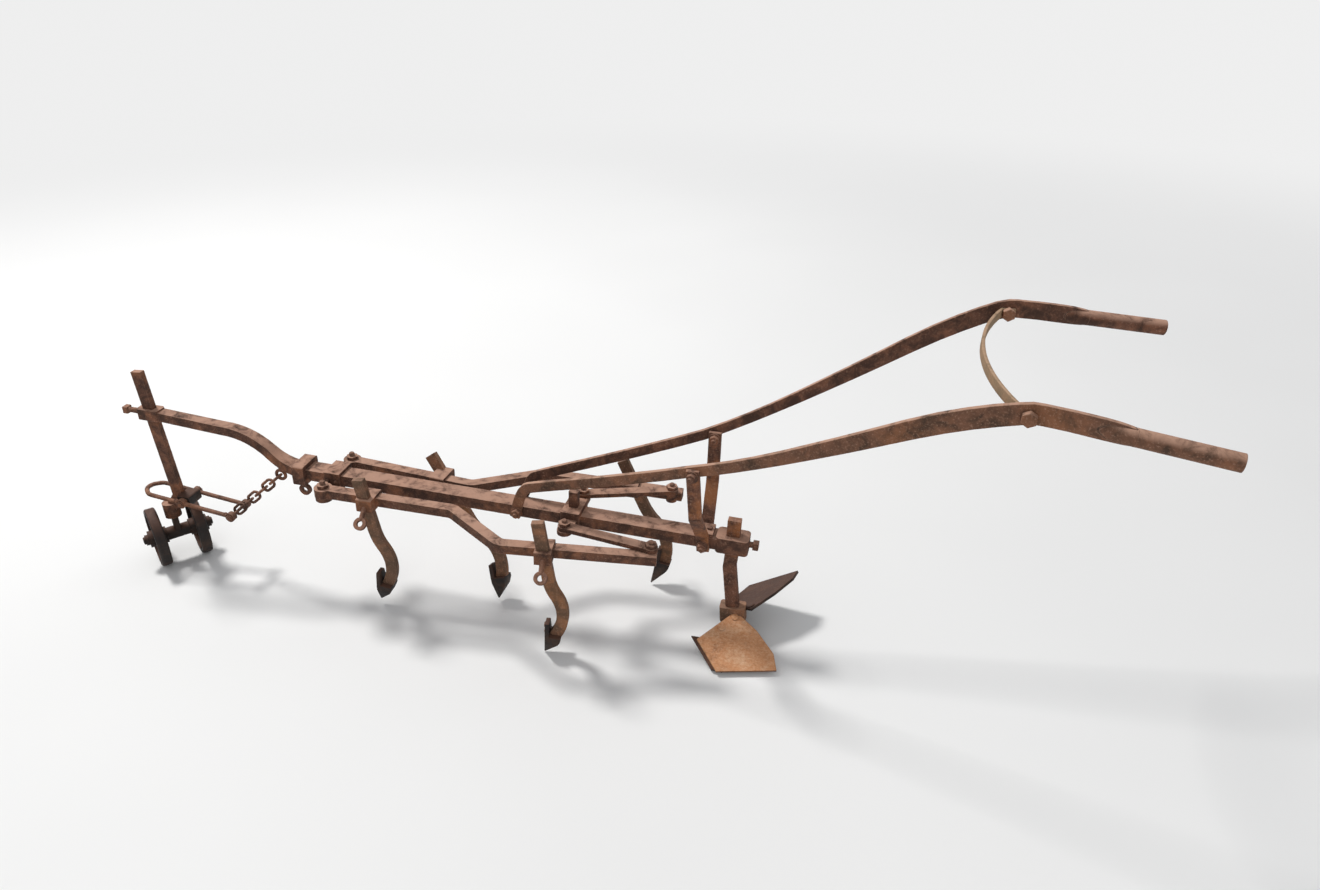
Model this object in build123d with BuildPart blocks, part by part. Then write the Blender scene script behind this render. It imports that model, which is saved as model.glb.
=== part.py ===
from build123d import *
from math import atan2, degrees, hypot, radians, tan
import os

os.makedirs("parts", exist_ok=True)

# Units are millimetres. +X is the way of travel, +Y the left side, +Z up, and the
# origin is on the ground under the middle of the machine's length.

# Small clearances
SEAT_GAP = 0.3
SLIDE_GAP = 0.4
RUNNING_GAP = 0.05

# The beam lies nose up on its front wheels, so the frame has a pitched plane of its own
BEAM_HEIGHT = 279
BEAM_SHIFT = -11
BEAM_PITCH = 3.1

# Main beam, a forged bar with an eye at each end
BEAM_WIDTH = 44
BEAM_DEPTH = 28
NECK_START = 700
NECK_MIDDLE = (785, 34)
NECK_TOP = (905, 81)
NECK_WIDTH = 30
NECK_DEPTH = 23
NECK_END_WIDTH = 27
FRONT_EYE_STATION = 1104
FRONT_EYE_HEIGHT = 92
FRONT_EYE_LENGTH = 58
FRONT_EYE_WIDTH = 34
FRONT_EYE_DEPTH = 28
REAR_EYE_STATION = -356
REAR_EYE_LENGTH = 74
REAR_EYE_WIDTH = 50
REAR_EYE_DEPTH = 38

# Wheel standard, a flat bar that slides in the front eye
STANDARD_LENGTH_SIDE = 27
STANDARD_THICKNESS = 15
STANDARD_LEAN = 2.9
STANDARD_TOP = 112
STANDARD_KNEE = -236
FOOT_BOSS_REACH = 1111
FOOT_BOSS_DIAMETER = 40
FOOT_BOSS_TOP = 168
FOOT_BOSS_HEIGHT = 40
EYE_SCREW_DIAMETER = 14
SQUARE_HEAD_SIDE = 17
SQUARE_HEAD_LENGTH = 13
FRONT_SCREW_LENGTH = 32
REAR_SCREW_LENGTH = 8

# Swivelling foot and its twin wheels
WHEEL_RADIUS = 78
WHEEL_RIM_WIDTH = 26
WHEEL_RIM_DEPTH = 12
WHEEL_WEB = 7
WHEEL_SPACING = 100
WHEEL_HUB_RADIUS = 22
WHEEL_HUB_LENGTH = 44
FOOT_HEADING = -41
FOOT_TRAIL = 2
YOKE_BOSS_LENGTH = 55
YOKE_PIN_DIAMETER = 18
YOKE_BAR_LENGTH_SIDE = 30
YOKE_BAR_THICKNESS = 14
AXLE_DIAMETER = 18
AXLE_HEAD_DIAMETER = 28
AXLE_HEAD_LENGTH = 8
YOKE_BOSS_DIAMETER = 34

# Draught bail and its chain
BAIL_ROD = 11
BAIL_NOSE_REACH = 126
BAIL_TAIL_REACH = 138
BAIL_HALF_WIDTH = 30
BAIL_NOSE_RADIUS = 24
BAIL_SLOPE = 9
BAIL_BLOCK_LENGTH = 34
BAIL_BLOCK_HEIGHT = 28
BAIL_PIVOT_HEIGHT = 191
BAIL_PIN_DIAMETER = 10
CHAIN_BOLT_DIAMETER = 8
BAIL_EYE_DIAMETER = 24
BAIL_EYE_THICKNESS = 14
CHAIN_WIRE = 7
CHAIN_LINK_WIDTH = 28
CHAIN_SLACK = 3
CHAIN_LINKS = 6
HOOK_STATION = 770
HOOK_DROP = 26
HOOK_RING_RADIUS = 12
HOOK_WIRE = 8

# Cross plate under the beam that carries the front of the two arms
ARM_PIVOT_STATION = 612
ARM_PIVOT_OFFSET = 70
CROSS_PLATE_LENGTH = 40
CROSS_PLATE_THICKNESS = 10
STRAP_THICKNESS = 8
PIVOT_PIN_DIAMETER = 14
PIVOT_HEAD_DIAMETER = 28
PIVOT_HEAD_HEIGHT = 8
COLLAR_STATION = 700
COLLAR_LENGTH = 30

# Side arms, cranked outwards behind the front tines
ARM_WIDTH = 26
ARM_DEPTH = 22
ARM_EYE_DIAMETER = 42
# The right arm is bent a little from its mirror image. Columns: station, distance out
ARM_BENDS = {
    1: [(289, 62), (138, 160), (-206, 108)],
    -1: [(289, 50), (138, 152), (-206, 162)],
}
ARM_BEND_RADIUS = 30

# Spreader: a collar on the beam with a link to each arm
SPREADER_STATION = 16
SPREADER_LENGTH = 44
SPREADER_WALL = 12
SPREADER_EAR_OFFSET = 72
SPREADER_EAR_WIDTH = 34
SPREADER_EAR_THICKNESS = 10
SPREADER_LUG_HEIGHT = 40
SPREADER_LUG_WIDTH = 20
LINK_ENDS = {1: (-190, 97), -1: (-182, 148)}
LINK_WIDTH = 26
LINK_THICKNESS = 10
LINK_PIN_DIAMETER = 12
LINK_SLOT_DIAMETER = 20
LINK_NUT_DIAMETER = 28
LINK_NUT_HEIGHT = 8

# Tines: S-shaped shanks in clamps on the arms, each with a bolted point
TINE_LENGTH_SIDE = 27
TINE_THICKNESS = 15
TINE_POST = (11, 84)
TINE_KNEE = (-10, -66)
TINE_CALF = (-26, -112)
TINE_FOOT = (-22, -226)
CLAMP_LENGTH = 38
CLAMP_WALL = 8
CLAMP_DEPTH = 34
POINT_WIDTH = 46
POINT_REACH = 58
POINT_RISE = 34
POINT_THICKNESS = 8
POINT_SINK = 2
# Columns: side (1 is left), place, station on the beam, lean back, splay in, set down,
# post cut, slope of the point
TINES = [
    (1, "front", 492, 0.5, 3.0, 10, 8, 78),
    (1, "rear", 36, 0.0, 1.5, -4, 0, 78),
    (-1, "front", 372, 32.0, 15.0, 58, -34, 52),
    (-1, "rear", -80, 19.0, 9.0, -5, 27, 70),
]

# Eye-headed clamping screws
SCREW_STEM = 12
SCREW_RING_RADIUS = 11
SCREW_RING_WIRE = 8
SCREW_REACH = 34
SCREW_DROOP = 45

# Handles: flat bars on edge, flared apart, with round grips
HANDLE_DEPTH = 38
HANDLE_THICKNESS = 11
# Columns: station along the beam, height above the beam's middle
HANDLE_FEET = {1: [(158, -10), (126, 72)], -1: [(186, -10), (158, 50)]}
HANDLE_RISE = [(-255, 219), (-812, 512)]
HANDLE_CROWN = (-900, 530)
HANDLE_TANG_START = (-1022, 523)
# Columns: station along the beam, distance from the middle
HANDLE_FLARE = [(-262, 84), (-835, 244), (-1060, 274)]
GRIP_START = (-1020, 269, 523)
GRIP_END = (-1178, 289, 514)
GRIP_DIAMETER = 32
TANG_DIAMETER = 18
TANG_LENGTH = 60

# Uprights between beam and handles, with a saddle over the beam
UPRIGHT_STATION = -292
UPRIGHT_LEANS = {1: 5.5, -1: 1.5}
UPRIGHT_WIDTH = 28
UPRIGHT_THICKNESS = 10
UPRIGHT_FOOT = -18
UPRIGHT_ELBOW = 18
UPRIGHT_KNEE = 106
UPRIGHT_TOP = 228
SADDLE_LENGTH = 40
SADDLE_THICKNESS = 10

# Hoop strap between the handles
HOOP_STATION = -838
HOOP_HEIGHT = 525
HOOP_WIDTH = 20
HOOP_THICKNESS = 7
HOOP_BOW = 100
HOOP_TAB = 27

# Ridging body: shank, frog, share and two wings
SHANK_LENGTH_SIDE = 30
SHANK_THICKNESS = 18
SHANK_POST = 60
SHANK_KNEE = (2, -66)
SHANK_FOOT = (-16, -196)
WING_THICKNESS = 6
# The same plate on both sides, in its own plane from its front lower corner, x forwards
# and y outwards. Columns: along, across
WING_OUTLINE = [(0, 0), (-135, 0), (-132, -40), (-99, -98), (-53, -150), (40, -80)]
# Columns: side, front lower corner, direction of the lower edge, upward normal
WINGS = [
    (1, (-360, 153.5, 10.5), (0.971, 0.237, 0.0), (-0.092, 0.376, 0.922)),
    (-1, (-391, -141, 35), (0.860, -0.057, -0.507), (0.489, -0.190, 0.851)),
]
FROG_LENGTH = 60
FROG_LEAN = 5.5
FROG_WIDTH = 34
FROG_DEPTH = 40
SHARE_THICKNESS = 6
SHARE_OUTLINE = [(10, -8), (-14, -2), (22, -86), (52, -92)]


def local(u, v, w):
    """A place in the pitched frame of the beam."""
    return Location((BEAM_SHIFT, 0, BEAM_HEIGHT), (0, -BEAM_PITCH, 0)) * Location((u, v, w))


def deck(height):
    """Plan plane of the frame: x forward, y left."""
    return Plane(local(0, 0, height))


def upright_plane(place):
    """Side-view plane at a place: x forward, y up, normal to the right."""
    return Plane(place * Location((0, 0, 0), (90, 0, 0)))


def section_plane(place):
    """Plane across the machine at a place: x left, y up, normal forward."""
    return Plane(place * Location((0, 0, 0), (90, 90, 0)))


def save(builder, name):
    builder.part.label = name
    export_step(builder.part, f"parts/{name}.step")


def side_word(side):
    return "left" if side == 1 else "right"


# Main beam with its gooseneck and two eyes
rear_eye = local(REAR_EYE_STATION, 0, 0)
front_eye = local(FRONT_EYE_STATION, 0, FRONT_EYE_HEIGHT)
eye_point = front_eye.position
standard_frame = Location(eye_point, (0, STANDARD_LEAN, 0))
beam_rear = REAR_EYE_STATION
beam_front = FRONT_EYE_STATION

with BuildPart() as main_beam:
    with BuildSketch(upright_plane(local(0, 0, 0))):
        with BuildLine():
            Line((beam_rear, 0), (NECK_START, 0))
        trace(line_width=BEAM_DEPTH)
        with BuildLine():
            rise = TangentArc((NECK_START, 0), NECK_MIDDLE, tangent=(1, 0))
            crest = TangentArc(rise @ 1, NECK_TOP, tangent=rise % 1)
            Line(crest @ 1, (beam_front, FRONT_EYE_HEIGHT))
        trace(line_width=NECK_DEPTH)
    extrude(amount=BEAM_WIDTH / 2, both=True)
    with BuildSketch(deck(0)):
        with BuildLine():
            Polyline(
                (beam_rear - BEAM_WIDTH, BEAM_WIDTH / 2),
                (NECK_START, BEAM_WIDTH / 2),
                (NECK_MIDDLE[0], NECK_WIDTH / 2),
                (beam_front + BEAM_WIDTH, NECK_END_WIDTH / 2),
                (beam_front + BEAM_WIDTH, -NECK_END_WIDTH / 2),
                (NECK_MIDDLE[0], -NECK_WIDTH / 2),
                (NECK_START, -BEAM_WIDTH / 2),
                (beam_rear - BEAM_WIDTH, -BEAM_WIDTH / 2),
                close=True,
            )
        make_face()
    extrude(amount=2 * FRONT_EYE_HEIGHT, both=True, mode=Mode.INTERSECT)
    with BuildSketch(Plane(front_eye)):
        RectangleRounded(FRONT_EYE_LENGTH, FRONT_EYE_WIDTH, FRONT_EYE_WIDTH / 5)
    extrude(amount=FRONT_EYE_DEPTH / 2, both=True)
    with BuildSketch(Plane(rear_eye)):
        RectangleRounded(REAR_EYE_LENGTH, REAR_EYE_WIDTH, REAR_EYE_WIDTH / 5)
    extrude(amount=REAR_EYE_DEPTH / 2, both=True)
    with BuildSketch(Plane(standard_frame)):
        Rectangle(STANDARD_LENGTH_SIDE + 2 * SLIDE_GAP, STANDARD_THICKNESS + 2 * SLIDE_GAP)
    extrude(amount=FRONT_EYE_DEPTH, both=True, mode=Mode.SUBTRACT)
    with BuildSketch(Plane(rear_eye)):
        Rectangle(SHANK_LENGTH_SIDE + 2 * SEAT_GAP, SHANK_THICKNESS + 2 * SEAT_GAP)
    extrude(amount=REAR_EYE_DEPTH, both=True, mode=Mode.SUBTRACT)
save(main_beam, "main_beam")



def set_screw(seat, reach):
    """A square-headed screw along a place's x."""
    with BuildPart() as screw:
        with BuildSketch(section_plane(seat)):
            Circle(EYE_SCREW_DIAMETER / 2)
        extrude(amount=reach)
        with BuildSketch(section_plane(seat * Location((reach, 0, 0)))):
            Rectangle(SQUARE_HEAD_SIDE, SQUARE_HEAD_SIDE)
        extrude(amount=SQUARE_HEAD_LENGTH)
    return screw.part


# Square-headed set screw in the nose of the front eye
screw_seat = front_eye * Location((FRONT_EYE_LENGTH / 2 + SEAT_GAP, 0, 0))
with BuildPart() as front_set_screw:
    add(set_screw(screw_seat, FRONT_SCREW_LENGTH))
save(front_set_screw, "front_set_screw")

# Wheel standard, bent forwards to the boss that the swivelling foot turns in
knee_point = (standard_frame * Location((0, 0, STANDARD_KNEE))).position
boss_place = Location((FOOT_BOSS_REACH, 0, FOOT_BOSS_TOP))
with BuildPart() as wheel_standard:
    with BuildSketch(Plane(standard_frame * Location((0, 0, STANDARD_TOP)))):
        Rectangle(STANDARD_LENGTH_SIDE, STANDARD_THICKNESS)
    extrude(amount=STANDARD_KNEE - STANDARD_TOP)
    with BuildSketch(Plane.XZ):
        with BuildLine():
            Line(
                (knee_point.X, knee_point.Z),
                (FOOT_BOSS_REACH, FOOT_BOSS_TOP - FOOT_BOSS_HEIGHT / 2),
            )
        trace(line_width=STANDARD_LENGTH_SIDE)
        with Locations((knee_point.X, knee_point.Z)):
            Circle(STANDARD_LENGTH_SIDE / 2)
    extrude(amount=STANDARD_THICKNESS / 2, both=True)
    with BuildSketch(Plane(boss_place)):
        Circle(FOOT_BOSS_DIAMETER / 2)
    extrude(amount=-FOOT_BOSS_HEIGHT)
    with BuildSketch(Plane(boss_place * Location((0, 0, -FOOT_BOSS_HEIGHT)))):
        Circle(YOKE_PIN_DIAMETER / 2 + RUNNING_GAP)
        Rectangle(2 * FOOT_BOSS_DIAMETER, 2 * FOOT_BOSS_DIAMETER)
    extrude(amount=-FOOT_BOSS_HEIGHT, mode=Mode.SUBTRACT)
    with BuildSketch(Plane(boss_place * Location((0, 0, -FOOT_BOSS_HEIGHT)))):
        Circle(YOKE_PIN_DIAMETER / 2 + RUNNING_GAP)
    extrude(amount=FOOT_BOSS_HEIGHT - CLAMP_WALL, mode=Mode.SUBTRACT)
save(wheel_standard, "wheel_standard")

# Foot yoke: a pin in the boss, a bar and the eye that spaces the wheels on their axle
yoke_top = FOOT_BOSS_TOP - FOOT_BOSS_HEIGHT - SEAT_GAP
foot_place = Location((FOOT_BOSS_REACH, 0, 0), (0, 0, FOOT_HEADING))
axle_place = foot_place * Location((FOOT_TRAIL, 0, WHEEL_RADIUS))
with BuildPart() as wheel_yoke:
    with BuildSketch(Plane(foot_place * Location((0, 0, yoke_top)))):
        Circle(YOKE_PIN_DIAMETER / 2)
    extrude(amount=FOOT_BOSS_HEIGHT - CLAMP_WALL - SEAT_GAP)
    with BuildSketch(upright_plane(foot_place)):
        with BuildLine():
            Polyline(
                (-YOKE_BAR_LENGTH_SIDE / 2, yoke_top),
                (YOKE_BAR_LENGTH_SIDE / 2, yoke_top),
                (FOOT_TRAIL + YOKE_BAR_LENGTH_SIDE / 2, WHEEL_RADIUS),
                (FOOT_TRAIL - YOKE_BAR_LENGTH_SIDE / 2, WHEEL_RADIUS),
                close=True,
            )
        make_face()
    extrude(amount=YOKE_BAR_THICKNESS / 2, both=True)
    with BuildSketch(upright_plane(axle_place)):
        Circle(YOKE_BOSS_DIAMETER / 2)
    extrude(amount=YOKE_BOSS_LENGTH / 2, both=True)
    with BuildSketch(upright_plane(axle_place)):
        Circle(AXLE_DIAMETER / 2 + SEAT_GAP)
    extrude(amount=YOKE_BOSS_LENGTH, both=True, mode=Mode.SUBTRACT)
save(wheel_yoke, "wheel_yoke")

# Axle with a round head at each end
axle_reach = WHEEL_SPACING / 2 + WHEEL_HUB_LENGTH / 2 + SEAT_GAP
with BuildPart() as wheel_axle:
    with BuildSketch(upright_plane(axle_place)):
        Circle(AXLE_DIAMETER / 2)
    extrude(amount=axle_reach, both=True)
    for side in (1, -1):
        with BuildSketch(upright_plane(axle_place * Location((0, side * axle_reach, 0)))):
            Circle(AXLE_HEAD_DIAMETER / 2)
        extrude(amount=-side * AXLE_HEAD_LENGTH)
save(wheel_axle, "wheel_axle")

# Twin cast wheels, each a rim, a dished web and a hub
for side in (1, -1):
    wheel_place = axle_place * Location((0, side * WHEEL_SPACING / 2, 0))
    with BuildPart() as wheel:
        with BuildSketch(Plane(wheel_place * Location((0, 0, 0), (90, 0, 0)))):
            Circle(WHEEL_RADIUS)
            Circle(WHEEL_RADIUS - WHEEL_RIM_DEPTH, mode=Mode.SUBTRACT)
        extrude(amount=WHEEL_RIM_WIDTH / 2, both=True)
        fillet(wheel.edges().filter_by(GeomType.CIRCLE).sort_by(SortBy.RADIUS)[-2:], 5)
        with BuildSketch(upright_plane(wheel_place)):
            Circle(WHEEL_RADIUS - WHEEL_RIM_DEPTH / 2)
        extrude(amount=WHEEL_WEB / 2, both=True)
        with BuildSketch(upright_plane(wheel_place)):
            Circle(WHEEL_HUB_RADIUS)
        extrude(amount=WHEEL_HUB_LENGTH / 2, both=True)
        with BuildSketch(upright_plane(wheel_place)):
            Circle(AXLE_DIAMETER / 2 + RUNNING_GAP)
        extrude(amount=WHEEL_HUB_LENGTH, both=True, mode=Mode.SUBTRACT)
    save(wheel, f"{side_word(side)}_wheel")

# Block behind the standard that the bail pivots on
block_level = standard_frame * Location((0, 0, BAIL_PIVOT_HEIGHT - eye_point.Z))
bail_pivot_x = block_level.position.X - STANDARD_LENGTH_SIDE / 2 - BAIL_BLOCK_LENGTH / 2 + 2
block_width = 2 * BAIL_HALF_WIDTH - BAIL_EYE_THICKNESS - 2 * SLIDE_GAP
bail_place = Location((bail_pivot_x, 0, BAIL_PIVOT_HEIGHT))
with BuildPart() as bail_block:
    with BuildSketch(upright_plane(bail_place)):
        Rectangle(BAIL_BLOCK_LENGTH, BAIL_BLOCK_HEIGHT)
        Circle(BAIL_PIN_DIAMETER / 2 + RUNNING_GAP, mode=Mode.SUBTRACT)
    extrude(amount=block_width / 2, both=True)
    add(wheel_standard.part, mode=Mode.SUBTRACT)
    fillet(bail_block.edges().filter_by(Axis.Y).group_by(Axis.X)[0], BAIL_BLOCK_HEIGHT / 5)
save(bail_block, "bail_block")

# Bail: a bent rod round the standard, with pivot eyes and a bolt across its tail
bail_frame = bail_place * Location((0, 0, 0), (0, -BAIL_SLOPE, 0))
with BuildPart() as draft_bail:
    with BuildLine(Plane(bail_frame)) as bail_line:
        FilletPolyline(
            (-BAIL_TAIL_REACH, BAIL_HALF_WIDTH),
            (BAIL_NOSE_REACH - BAIL_HALF_WIDTH, BAIL_HALF_WIDTH),
            (BAIL_NOSE_REACH, 0),
            (BAIL_NOSE_REACH - BAIL_HALF_WIDTH, -BAIL_HALF_WIDTH),
            (-BAIL_TAIL_REACH, -BAIL_HALF_WIDTH),
            radius=BAIL_NOSE_RADIUS,
        )
    with BuildSketch(section_plane(bail_frame * Location((-BAIL_TAIL_REACH, BAIL_HALF_WIDTH, 0)))):
        Circle(BAIL_ROD / 2)
    sweep()
    for side in (1, -1):
        for reach in (0, -BAIL_TAIL_REACH):
            eye = bail_frame * Location((reach, side * BAIL_HALF_WIDTH, 0))
            with BuildSketch(upright_plane(eye)):
                Circle(BAIL_EYE_DIAMETER / 2)
            extrude(amount=BAIL_EYE_THICKNESS / 2, both=True)
    for reach, diameter in ((0, BAIL_PIN_DIAMETER), (-BAIL_TAIL_REACH, CHAIN_BOLT_DIAMETER)):
        with BuildSketch(upright_plane(bail_frame * Location((reach, 0, 0)))):
            Circle(diameter / 2)
        extrude(amount=BAIL_HALF_WIDTH + BAIL_ROD, both=True)
save(draft_bail, "draft_bail")

# Ring bolt under the neck that the chain hangs on
hook_centre = local(HOOK_STATION, 0, -HOOK_DROP)
with BuildPart() as chain_hook:
    with Locations(hook_centre * Location((0, 0, 0), (90, 0, 0))):
        Torus(HOOK_RING_RADIUS, HOOK_WIRE / 2)
    with BuildSketch(Plane(hook_centre * Location((0, 0, HOOK_RING_RADIUS)))):
        Circle(HOOK_WIRE / 2)
    extrude(amount=1.5 * HOOK_DROP)
    add(main_beam.part, mode=Mode.SUBTRACT)
save(chain_hook, "chain_hook")

# Chain of oval links from the ring bolt to the bolt across the bail's tail
tail_bolt = (bail_frame * Location((-BAIL_TAIL_REACH, 0, 0))).position
ring_middle = hook_centre.position
chain_slope = degrees(atan2(tail_bolt.Z - ring_middle.Z, tail_bolt.X - ring_middle.X))
chain_frame = Location(ring_middle, (0, -chain_slope, 0))
chain_length = hypot(tail_bolt.Z - ring_middle.Z, tail_bolt.X - ring_middle.X)
ring_catch = HOOK_RING_RADIUS - HOOK_WIRE / 2 - SEAT_GAP - CHAIN_WIRE / 2
bolt_catch = CHAIN_BOLT_DIAMETER / 2 + CHAIN_SLACK + CHAIN_WIRE / 2
link_pitch = (chain_length + bolt_catch - ring_catch - CHAIN_WIRE - SEAT_GAP) / CHAIN_LINKS
link_radius = (CHAIN_LINK_WIDTH - CHAIN_WIRE) / 2
half_straight = (link_pitch + SEAT_GAP + CHAIN_WIRE) / 2 - link_radius
with BuildPart() as draft_chain:
    for index in range(CHAIN_LINKS):
        middle = ring_catch + half_straight + link_radius + index * link_pitch
        turn = 90 * (index % 2)
        link_place = chain_frame * Location((middle, 0, 0)) * Location((0, 0, 0), (turn, 0, 0))
        with BuildLine(Plane(link_place)) as link_line:
            Line((0, link_radius), (half_straight, link_radius))
            ThreePointArc(
                (half_straight, link_radius),
                (half_straight + link_radius, 0),
                (half_straight, -link_radius),
            )
            Line((half_straight, -link_radius), (-half_straight, -link_radius))
            ThreePointArc(
                (-half_straight, -link_radius),
                (-half_straight - link_radius, 0),
                (-half_straight, link_radius),
            )
            Line((-half_straight, link_radius), (0, link_radius))
        with BuildSketch(section_plane(link_place * Location((0, link_radius, 0)))):
            Circle(CHAIN_WIRE / 2)
        sweep(path=link_line.wire())
save(draft_chain, "draft_chain")

# Cross plate, its strap over the beam and the two arm pins, one forged piece
plate_top = -BEAM_DEPTH / 2
arm_bottom = plate_top + SEAT_GAP
arm_top = arm_bottom + ARM_DEPTH
strap_half = BEAM_WIDTH / 2 + SEAT_GAP + STRAP_THICKNESS
with BuildPart() as cross_plate:
    with BuildSketch(deck(plate_top)):
        with Locations((ARM_PIVOT_STATION, 0)):
            Rectangle(CROSS_PLATE_LENGTH, 2 * ARM_PIVOT_OFFSET)
            with Locations((0, ARM_PIVOT_OFFSET), (0, -ARM_PIVOT_OFFSET)):
                Circle(CROSS_PLATE_LENGTH / 2)
    extrude(amount=-CROSS_PLATE_THICKNESS)
    with BuildSketch(section_plane(local(ARM_PIVOT_STATION - CROSS_PLATE_LENGTH / 2, 0, 0))):
        with Locations((0, STRAP_THICKNESS / 2)):
            Rectangle(2 * strap_half, BEAM_DEPTH + STRAP_THICKNESS + SEAT_GAP)
        with Locations((0, SEAT_GAP)):
            Rectangle(BEAM_WIDTH + 2 * SEAT_GAP, BEAM_DEPTH, mode=Mode.SUBTRACT)
        with Locations((0, plate_top)):
            Rectangle(BEAM_WIDTH + 2 * SEAT_GAP, 2 * SEAT_GAP, mode=Mode.SUBTRACT)
    extrude(amount=CROSS_PLATE_LENGTH)
    for side in (1, -1):
        pin_foot = local(ARM_PIVOT_STATION, side * ARM_PIVOT_OFFSET, plate_top)
        with BuildSketch(Plane(pin_foot)):
            Circle(PIVOT_PIN_DIAMETER / 2)
        extrude(amount=ARM_DEPTH + 2 * SEAT_GAP)
        with BuildSketch(Plane(pin_foot * Location((0, 0, ARM_DEPTH + 2 * SEAT_GAP)))):
            RegularPolygon(PIVOT_HEAD_DIAMETER / 2, 6)
        extrude(amount=PIVOT_HEAD_HEIGHT)
save(cross_plate, "cross_plate")


def eye_screw(seat, reach):
    """A screw along a place's z that ends in a ring."""
    with BuildPart() as screw:
        with BuildSketch(Plane(seat)):
            Circle(SCREW_STEM / 2)
        extrude(amount=reach)
        ring_place = seat * Location((0, 0, reach + SCREW_RING_RADIUS), (90, 0, 0))
        with BuildSketch(Plane(ring_place)):
            Circle(SCREW_RING_RADIUS + SCREW_RING_WIRE / 2)
            Circle(SCREW_RING_RADIUS - SCREW_RING_WIRE / 2, mode=Mode.SUBTRACT)
        extrude(amount=SCREW_RING_WIRE / 2, both=True)
    return screw.part


# Collar in front of the cross plate, with its eye screw
collar_half = BEAM_WIDTH / 2 + SEAT_GAP + SPREADER_WALL
with BuildPart() as front_collar:
    with BuildSketch(section_plane(local(COLLAR_STATION - COLLAR_LENGTH / 2, 0, 0))):
        RectangleRounded(2 * collar_half, BEAM_DEPTH + 2 * SPREADER_WALL, SPREADER_WALL / 2)
        Rectangle(BEAM_WIDTH + 2 * SEAT_GAP, BEAM_DEPTH + 2 * SEAT_GAP, mode=Mode.SUBTRACT)
    extrude(amount=COLLAR_LENGTH)
save(front_collar, "front_collar")

with BuildPart() as collar_eye_screw:
    under = -BEAM_DEPTH / 2 - SPREADER_WALL - SEAT_GAP
    seat = local(COLLAR_STATION, BEAM_WIDTH / 4, under) * Location((0, 0, 0), (180, 0, 0))
    add(eye_screw(seat, SCREW_REACH / 3))
save(collar_eye_screw, "collar_eye_screw")

# Spreader collar with two ears, a lug on top and a stud for each link
ear_top = arm_top + SEAT_GAP
link_bottom = ear_top + SEAT_GAP
link_top = link_bottom + LINK_THICKNESS
spreader_half = BEAM_WIDTH / 2 + SLIDE_GAP + SPREADER_WALL
spreader_top = BEAM_DEPTH / 2 + SLIDE_GAP + SPREADER_WALL
with BuildPart() as spreader_collar:
    with BuildSketch(section_plane(local(SPREADER_STATION - SPREADER_LENGTH / 2, 0, 0))):
        Rectangle(2 * spreader_half, 2 * spreader_top)
        Rectangle(BEAM_WIDTH + 2 * SLIDE_GAP, BEAM_DEPTH + 2 * SLIDE_GAP, mode=Mode.SUBTRACT)
    extrude(amount=SPREADER_LENGTH)
    for side in (1, -1):
        with BuildSketch(deck(ear_top)):
            with Locations((SPREADER_STATION, side * SPREADER_EAR_OFFSET)):
                Circle(SPREADER_EAR_WIDTH / 2)
            with Locations((SPREADER_STATION, side * (SPREADER_EAR_OFFSET + spreader_half) / 2)):
                Rectangle(SPREADER_EAR_WIDTH, SPREADER_EAR_OFFSET - spreader_half + SEAT_GAP)
        extrude(amount=-SPREADER_EAR_THICKNESS)
        with BuildSketch(deck(ear_top)):
            with Locations((SPREADER_STATION, side * SPREADER_EAR_OFFSET)):
                Circle(LINK_PIN_DIAMETER / 2)
        extrude(amount=LINK_THICKNESS + LINK_PIN_DIAMETER)
        with BuildSketch(deck(link_top + SEAT_GAP)):
            with Locations((SPREADER_STATION, side * SPREADER_EAR_OFFSET)):
                RegularPolygon(LINK_NUT_DIAMETER / 2, 6)
        extrude(amount=LINK_NUT_HEIGHT)
    with BuildSketch(deck(spreader_top)):
        with Locations((SPREADER_STATION, 0)):
            RectangleRounded(SPREADER_LENGTH / 2, SPREADER_LUG_WIDTH, SPREADER_LUG_WIDTH / 5)
    extrude(amount=SPREADER_LUG_HEIGHT)
save(spreader_collar, "spreader_collar")

# Arms, tine clamps, screws, tines and points
arm_middle = (arm_bottom + arm_top) / 2


def arm_offset(side, station):
    """Distance of an arm's middle line from the beam's middle at a station."""
    first_bend, second_bend, end_point = ARM_BENDS[side]
    for start, end in (
        ((ARM_PIVOT_STATION, ARM_PIVOT_OFFSET), first_bend),
        (second_bend, end_point),
    ):
        if end[0] <= station <= start[0]:
            share = (start[0] - station) / (start[0] - end[0])
            return start[1] + share * (end[1] - start[1])
    raise ValueError("no straight stretch of the arm at this station")


def arm_heading(side, station):
    """Angle of an arm's middle line to the beam at a station, opening forwards."""
    return degrees(atan2(arm_offset(side, station + 1) - arm_offset(side, station), 1))


def arm_place(side, station):
    """The middle of an arm at a station, x forwards along the arm, z up."""
    heading = side * arm_heading(side, station)
    offset = side * arm_offset(side, station)
    return local(station, offset, arm_middle) * Location((0, 0, 0), (0, 0, heading))


def tine_place(side, station, lean, splay, drop):
    """The middle of a tine's shank where it passes its arm, x forwards, z up the shank."""
    tilt_room = ARM_DEPTH / 2 * tan(radians(splay))
    out = (ARM_WIDTH + TINE_THICKNESS) / 2 + 2 * SEAT_GAP + tilt_room
    middle = arm_place(side, station) * Location((0, side * out, 0), (-side * splay, lean, 0))
    return middle * Location((0, 0, -drop))


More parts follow.
